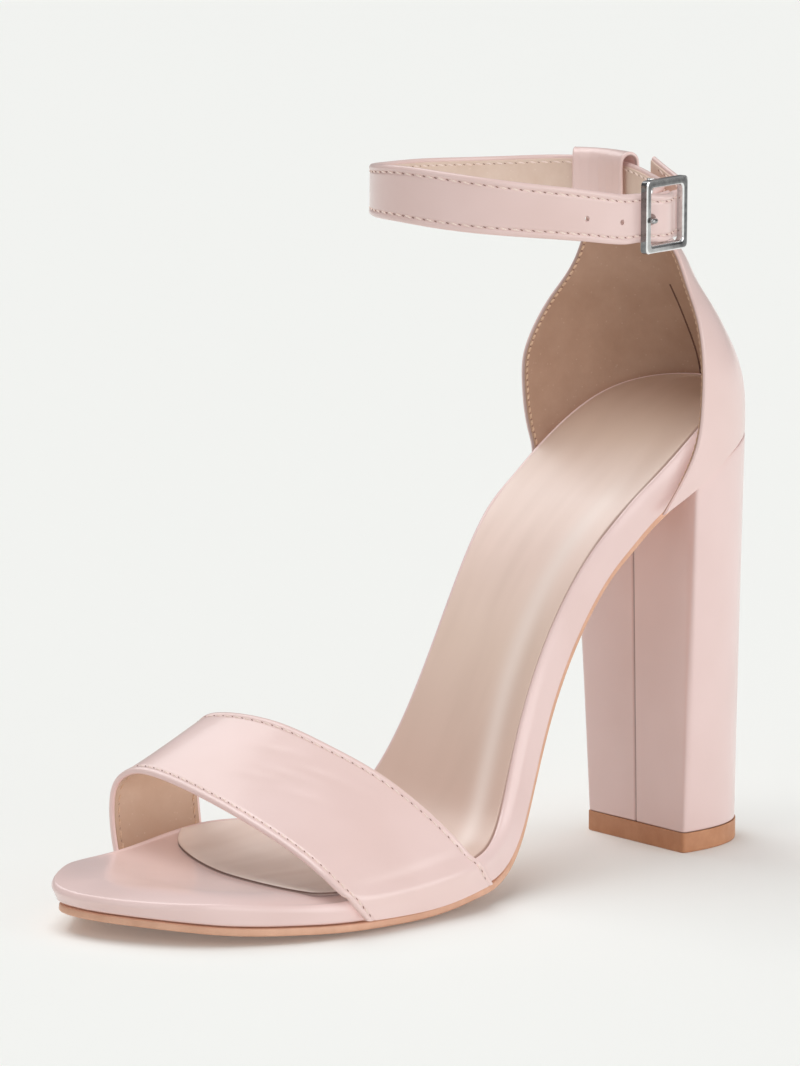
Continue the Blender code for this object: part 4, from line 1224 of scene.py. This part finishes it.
def build_strap():
    wall = leather_wall(STRAP_WALL, LINING)
    piece = strip(
        "strap_leather", strap_skin, STRAP_STATIONS,
        lambda w: strip_section(w, wall, STRAP_SEWING, 14), plain, SHADED_STRAP_PINK,
    )
    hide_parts("ankle_strap")
    inside = strip(
        "strap_lining", strap_skin, STRAP_STATIONS,
        lambda w: lining_section(w, STRAP_WALL, STRAP_SEWING, LINING, 8), plain, PALE_LINED,
    )
    drill = bmesh.new()
    for at in STRAP_HOLES:
        p = np.array([np.interp(at, strap_run, strap_mid[:, k]) for k in range(3)])
        n = np.array([np.interp(at, strap_run, strap_out[:, k]) for k in range(3)])
        p[2] -= STRAP_HOLE_DROP
        rod(drill, p - DRILL_REACH * n, p + DRILL_REACH * n, STRAP_HOLE_RADIUS)
    start, end = (at_buckle(PRONG_HOLE_PLACE, n, -PRONG_DROP) for n in (-2 * BUCKLE_DEPTH, BUCKLE_DEPTH))
    rod(drill, start, end, PRONG_HOLE / 2)
    punch(drill, piece, inside)


# Counter, its top tab folded over the strap
section_at = Spline([r[0] for r in COUNTER_SECTIONS], [r[1:] for r in COUNTER_SECTIONS])
front_at = Spline([r[0] for r in COUNTER_FRONT], [r[1:] for r in COUNTER_FRONT])
LOOP_CLEARANCE = 0.45
FOLD = STRAP_WALL / 2 + LOOP_CLEARANCE + COUNTER_WALL
FOLD_DROP = 0.7        # the fold's centre below the strap's upper edge
LOOP_STEPS = (161.0, 166.0)     # heights on the loop's straight faces
COUNTER_FOOT = 0.1     # gap over the heel seat
SEAT_GUESS = 20.0      # x from which the foot of the wall is searched
SEAT_ROUNDS = 12
WING_REACH = (3.0, 7.0)         # the wings close on the sole: from so far over the footbed, over


def wall_point(z, side, f):
    """Point of the counter's outer face: side -1 inner, +1 outer; f 0 at the back, 1 at the front edge."""
    back, depth, half, mid = section_at(z)
    edge = float(front_at(z)[0 if side < 0 else 1])
    centre = back + depth
    turn = math.acos(np.clip((centre - min(edge, centre)) / depth, 0, 1))
    arc_end = turn * (depth + half) / 2
    s = f * (arc_end + max(edge - centre, 0.0))
    if s <= arc_end:
        a = turn * s / arc_end
        return np.array([centre - depth * math.cos(a), mid + side * half * math.sin(a), z])
    x = centre + s - arc_end
    beside = side * (abs(float(edge_y(x, side > 0))) - SEAT_INSET + GAP + COUNTER_WALL)
    start, over = WING_REACH
    close = ramp(x, *COUNTER_RAMP) * smooth((float(footbed(x, 0.0)) + start - z) / over)
    return np.array([x, (mid + side * half) * (1 - close) + beside * close, z])


def counter_face(across, up):
    """Grid on the counter's outer face, up its wall and over the fold of the loop."""
    cols = np.linspace(-1, 1, across)
    top = COUNTER_SECTIONS[-1][0]
    grid = []
    for v in np.linspace(0, 1, up):
        row = []
        for c in cols:
            side, f = (-1, -c) if c < 0 else (1, c)
            x = SEAT_GUESS
            for _ in range(SEAT_ROUNDS):
                low = float(seat_height(x)) + COUNTER_FOOT + COUNTER_LIFT * float(ramp(x, *COUNTER_RAMP))
                p = wall_point(low + (top - low) * v, side, f)
                x = p[0]
            row.append(p)
        grid.append(row)
    here = np.linalg.norm(strap_mid[:, :2] - np.array(LOOP_POINT), axis=1).argmin()
    fold_z = strap_mid[here][2] + STRAP_WIDTH / 2 - FOLD_DROP
    path = [(FOLD, z) for z in (*LOOP_STEPS, fold_z)]
    for k in range(1, 8):
        a = math.pi * k / 8
        path.append((FOLD * math.cos(a), fold_z + FOLD * math.sin(a)))
    path += [(-FOLD, z) for z in (fold_z, LOOP_STEPS[1], LOOP_FOLD_END)]
    for out, z in path:
        row = []
        for c in cols:
            s = strap_run[here] - LOOP_SHIFT - c * LOOP_WIDTH / 2
            p = np.array([np.interp(s, strap_run, strap_mid[:, k]) for k in (0, 1)])
            n = np.array([np.interp(s, strap_run, strap_out[:, k]) for k in (0, 1)])
            p = p + n / np.linalg.norm(n) * out
            row.append((p[0], p[1], z))
        grid.append(row)
    return np.array(grid)


COUNTER_ROWS = 17
counter_skin = Surface(counter_face(27, COUNTER_ROWS))
WALL_TOP = counter_skin.u[COUNTER_ROWS - 1]
COUNTER_STATIONS = np.concatenate([np.linspace(0, WALL_TOP, 110)[:-1], np.linspace(WALL_TOP, 1, 90)])
LINED_STATIONS = COUNTER_STATIONS[COUNTER_STATIONS < WALL_TOP * 1.02]
CREVICE_SHADE_TONE = 0.7    # painted shade in the crevice between the leather's edge and the lining
CREVICE_SHADE_WIDTH = 0.6


def build_counter():
    wall = leather_wall(COUNTER_WALL, COUNTER_LINING)

    def crevice_shade(edge, height):
        """Painted shade on the inner half of the edge, in the crevice against the lining."""
        inner = smooth(-1.6 * height / wall - 0.6)
        return CREVICE_SHADE_TONE * inner * np.exp(-((edge / CREVICE_SHADE_WIDTH) ** 2))

    piece = strip(
        "counter_leather", counter_skin, COUNTER_STATIONS,
        lambda w: strip_section(w, wall, COUNTER_SEWING, 60), plain, PINK, crevice_shade,
    )
    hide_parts("counter")
    strip(
        "counter_lining", counter_skin, LINED_STATIONS,
        lambda w: lining_section(w, COUNTER_WALL, COUNTER_SEWING, COUNTER_LINING, 48), plain, SHADED_LINED,
    )


# Sewing
def along_skin(skin, stations, distance, height, pitch):
    """Even places along a surface: point, direction along the line and normal."""
    p, n = skin.placed(stations, distance)
    p, n = p[:, 0] + n[:, 0] * height, n[:, 0]
    run = run_of(p)
    at = np.arange(pitch, run[-1] - pitch, pitch)
    place = np.stack([np.interp(at, run, p[:, k]) for k in range(3)], -1)
    normal = unit(np.stack([np.interp(at, run, n[:, k]) for k in range(3)], -1))
    ahead = unit(np.stack([np.interp(at, run, np.gradient(p[:, k], run)) for k in range(3)], -1))
    return place, ahead, normal


def edge_seams(skin, stations, sewing, height):
    """The two seams along a strip's edges."""
    _, runs = skin.across(stations)
    lines = (0 * runs[:, -1:] + sewing["inset"], runs[:, -1:] - sewing["inset"])
    return [along_skin(skin, stations, d, height, sewing["pitch"]) for d in lines]


def stitch_matrix(p, ahead, normal, size, lean):
    """Place of a stitch: its half sizes along, across and up, turned on the leather by its lean."""
    side = np.cross(normal, ahead)
    c, s = math.cos(lean), math.sin(lean)
    axes = (ahead * c + side * s, side * c - ahead * s, normal)
    turn = Matrix([list(a * k * MM) for a, k in zip(axes, size)]).transposed().to_4x4()
    return Matrix.Translation(Vector((p - ORIGIN) * MM)) @ turn


STITCH_LEAN = -0.22
STITCH_FLAT = 0.8      # a stitch's height over its width
STITCH_SINK = 0.08     # its middle lies so far under the leather's face
SLOT_LEAN = -0.34
SLOT_RISE = 0.08


def sew(name, seams, sewing, yarn=None):
    """Rows of stitches, each followed by a dark needle slot: a dark piece that paints the shade in the
    needle hole.
    """
    threads = bmesh.new()
    slot_shades = bmesh.new()
    long, wide = sewing["thread"]
    slot_long, slot_wide = sewing["slot"]
    for seam in seams:
        for p, ahead, normal in zip(*seam):
            m = stitch_matrix(p, ahead, normal, (long, wide, wide * STITCH_FLAT), STITCH_LEAN)
            bmesh.ops.create_uvsphere(threads, u_segments=8, v_segments=6, radius=1.0, matrix=m)
            after = p + ahead * sewing["pitch"] / 2
            m = stitch_matrix(after, ahead, normal, (slot_long, slot_wide, SLOT_RISE), SLOT_LEAN)
            bmesh.ops.create_uvsphere(slot_shades, u_segments=8, v_segments=4, radius=1.0, matrix=m)
    finish_piece(name, threads, yarn or THREAD, 80.0)
    finish_piece(name + "_slots", slot_shades, NEEDLE_SHADE, 80.0)


def flipped(seams):
    """The same seams seen from the other face."""
    return [(p, ahead, -normal) for p, ahead, normal in seams]


def seam_thread(name, seam, radius, material):
    """A round thread laid along a seam."""
    places, aheads, normals = seam
    turn = np.linspace(0, 2 * math.pi, 8, endpoint=False)
    sides = np.cross(normals, aheads)
    rows = places[:, None] + radius * (
        normals[:, None] * np.cos(turn)[None, :, None] + sides[:, None] * np.sin(turn)[None, :, None]
    )
    ends = [np.repeat(places[k][None, None], len(turn), axis=1) for k in (0, -1)]
    skin_over(name, np.concatenate([ends[0], rows, ends[1]]), material, 80.0)


LINING_SEAM_SHARES = (0.4595, 0.469)   # of the way round from the inner edge, at its foot and its top
LINING_SEAM_HEIGHTS = (0.05, 0.68)     # of the wall's height
LINING_SEAM_RADIUS = 0.25
LINING_SEAM_STEP = 0.8
COUNTER_SEWN_FROM = 0.03               # share of the counter's height where its stitching begins


def build_sewing():
    fine = np.linspace(0, 1, 400)
    sew("vamp_stitches", edge_seams(vamp_skin, fine, VAMP_SEWING, -STITCH_SINK), VAMP_SEWING)
    inside = flipped(edge_seams(vamp_skin, fine, VAMP_SEWING, -VAMP_WALL))
    sew("vamp_lining_stitches", inside, VAMP_SEWING, ROPE)
    long = np.linspace(0, 1, 900)
    sew("strap_stitches", edge_seams(strap_skin, long, STRAP_SEWING, -STITCH_SINK), STRAP_SEWING)
    inside = flipped(edge_seams(strap_skin, long, STRAP_SEWING, -STRAP_WALL))
    sew("strap_lining_stitches", inside, STRAP_SEWING)
    wall = np.linspace(COUNTER_SEWN_FROM, WALL_TOP, 400)
    inside = flipped(edge_seams(counter_skin, wall, COUNTER_SEWING, -COUNTER_WALL))
    sew("counter_lining_stitches", inside, COUNTER_SEWING, ROPE)


def build_lining_seam():
    """The seam up the back of the counter's lining."""
    foot, top = LINING_SEAM_HEIGHTS
    stations = np.linspace(WALL_TOP * foot, WALL_TOP * top, 200)
    fine, runs = counter_skin.across(stations)
    shares = np.interp(stations / WALL_TOP, (0.0, top), LINING_SEAM_SHARES)
    distance = np.array([[np.interp(share, fine, run)] for share, run in zip(shares, runs)])
    seam = along_skin(counter_skin, stations, distance, -COUNTER_WALL, LINING_SEAM_STEP)
    seam_thread("counter_back_seam", seam, LINING_SEAM_RADIUS, CORD)


build_platform()
build_outsole()
build_sock()
build_heel()
build_tip()
build_vamp()
build_buckle()
build_prong()
build_strap()
build_counter()
build_sewing()
build_lining_seam()


# Stage: pale floor, soft light and the camera
CAMERA_TARGET = (106.27, 0.0, 86.79)
CAMERA_TURN = 43.0            # degrees from the outer side towards the toe
CAMERA_RISE = 9.31
CAMERA_ROLL = 0.29
CAMERA_DISTANCE = 1912.9
FOCAL_PIXELS = 7935.0
IMAGE_HEIGHT = 1066
SENSOR = 36.0
FLOOR_SIZE = 12.0             # metres


def direction(turn, rise):
    """Unit vector from the shoe: turn in degrees from +Y towards +X, rise above the floor."""
    t, r = math.radians(turn), math.radians(rise)
    return Vector((math.sin(t) * math.cos(r), math.cos(t) * math.cos(r), math.sin(r)))


def build_camera():
    back = direction(CAMERA_TURN, CAMERA_RISE)
    level = (-back).cross(Vector((0, 0, 1))).normalized()
    up = level.cross(-back)
    roll = math.radians(CAMERA_ROLL)
    right = level * math.cos(roll) + up * math.sin(roll)
    top = up * math.cos(roll) - level * math.sin(roll)
    data = bpy.data.cameras.new("camera")
    data.sensor_width = SENSOR
    data.lens = FOCAL_PIXELS * SENSOR / IMAGE_HEIGHT
    data.clip_end = 50.0
    camera = bpy.data.objects.new("camera", data)
    place = Matrix((right, top, back)).transposed().to_4x4()
    place.translation = Vector((np.array(CAMERA_TARGET) - ORIGIN) * MM) + back * CAMERA_DISTANCE * MM
    camera.matrix_world = place
    bpy.context.scene.collection.objects.link(camera)
    bpy.context.scene.camera = camera


def build_floor():
    bm = bmesh.new()
    bmesh.ops.create_grid(bm, x_segments=8, y_segments=8, size=FLOOR_SIZE)
    mesh = bpy.data.meshes.new("floor")
    bm.to_mesh(mesh)
    bm.free()
    paint = Paint("pale_floor")
    paint.finish(Base_Color=srgb(244, 245, 242), Roughness=0.9, Specular_IOR_Level=0.1)
    mesh.materials.append(paint.material)
    floor = bpy.data.objects.new("floor", mesh)
    bpy.context.scene.collection.objects.link(floor)


# turn, rise, spread in degrees, strength, whether it throws shadows
SUNS = (
    (130.0, 80.0, 45.0, 1.25, True),
    (185.0, 48.0, 40.0, 0.65, True),
    (-30.0, 20.0, 50.0, 1.1, False),
    (15.0, 22.0, 40.0, 0.45, False),
    (85.0, 25.0, 40.0, 0.3, True),
)
WORLD_STRENGTH = 0.235


def build_light():
    for k, (turn, rise, spread, strength, shadows) in enumerate(SUNS):
        data = bpy.data.lights.new(f"sun_{k}", "SUN")
        data.energy = strength
        data.angle = math.radians(spread)
        data.use_shadow = shadows
        lamp = bpy.data.objects.new(f"sun_{k}", data)
        lamp.rotation_euler = direction(turn, rise).to_track_quat("Z", "Y").to_euler()
        bpy.context.scene.collection.objects.link(lamp)
    world = bpy.data.worlds.new("studio")
    world.use_nodes = True
    background = world.node_tree.nodes["Background"]
    background.inputs["Color"].default_value = (1.0, 1.0, 1.0, 1.0)
    background.inputs["Strength"].default_value = WORLD_STRENGTH
    bpy.context.scene.world = world
    bpy.context.scene.view_settings.view_transform = "Standard"


build_camera()
build_floor()
build_light()
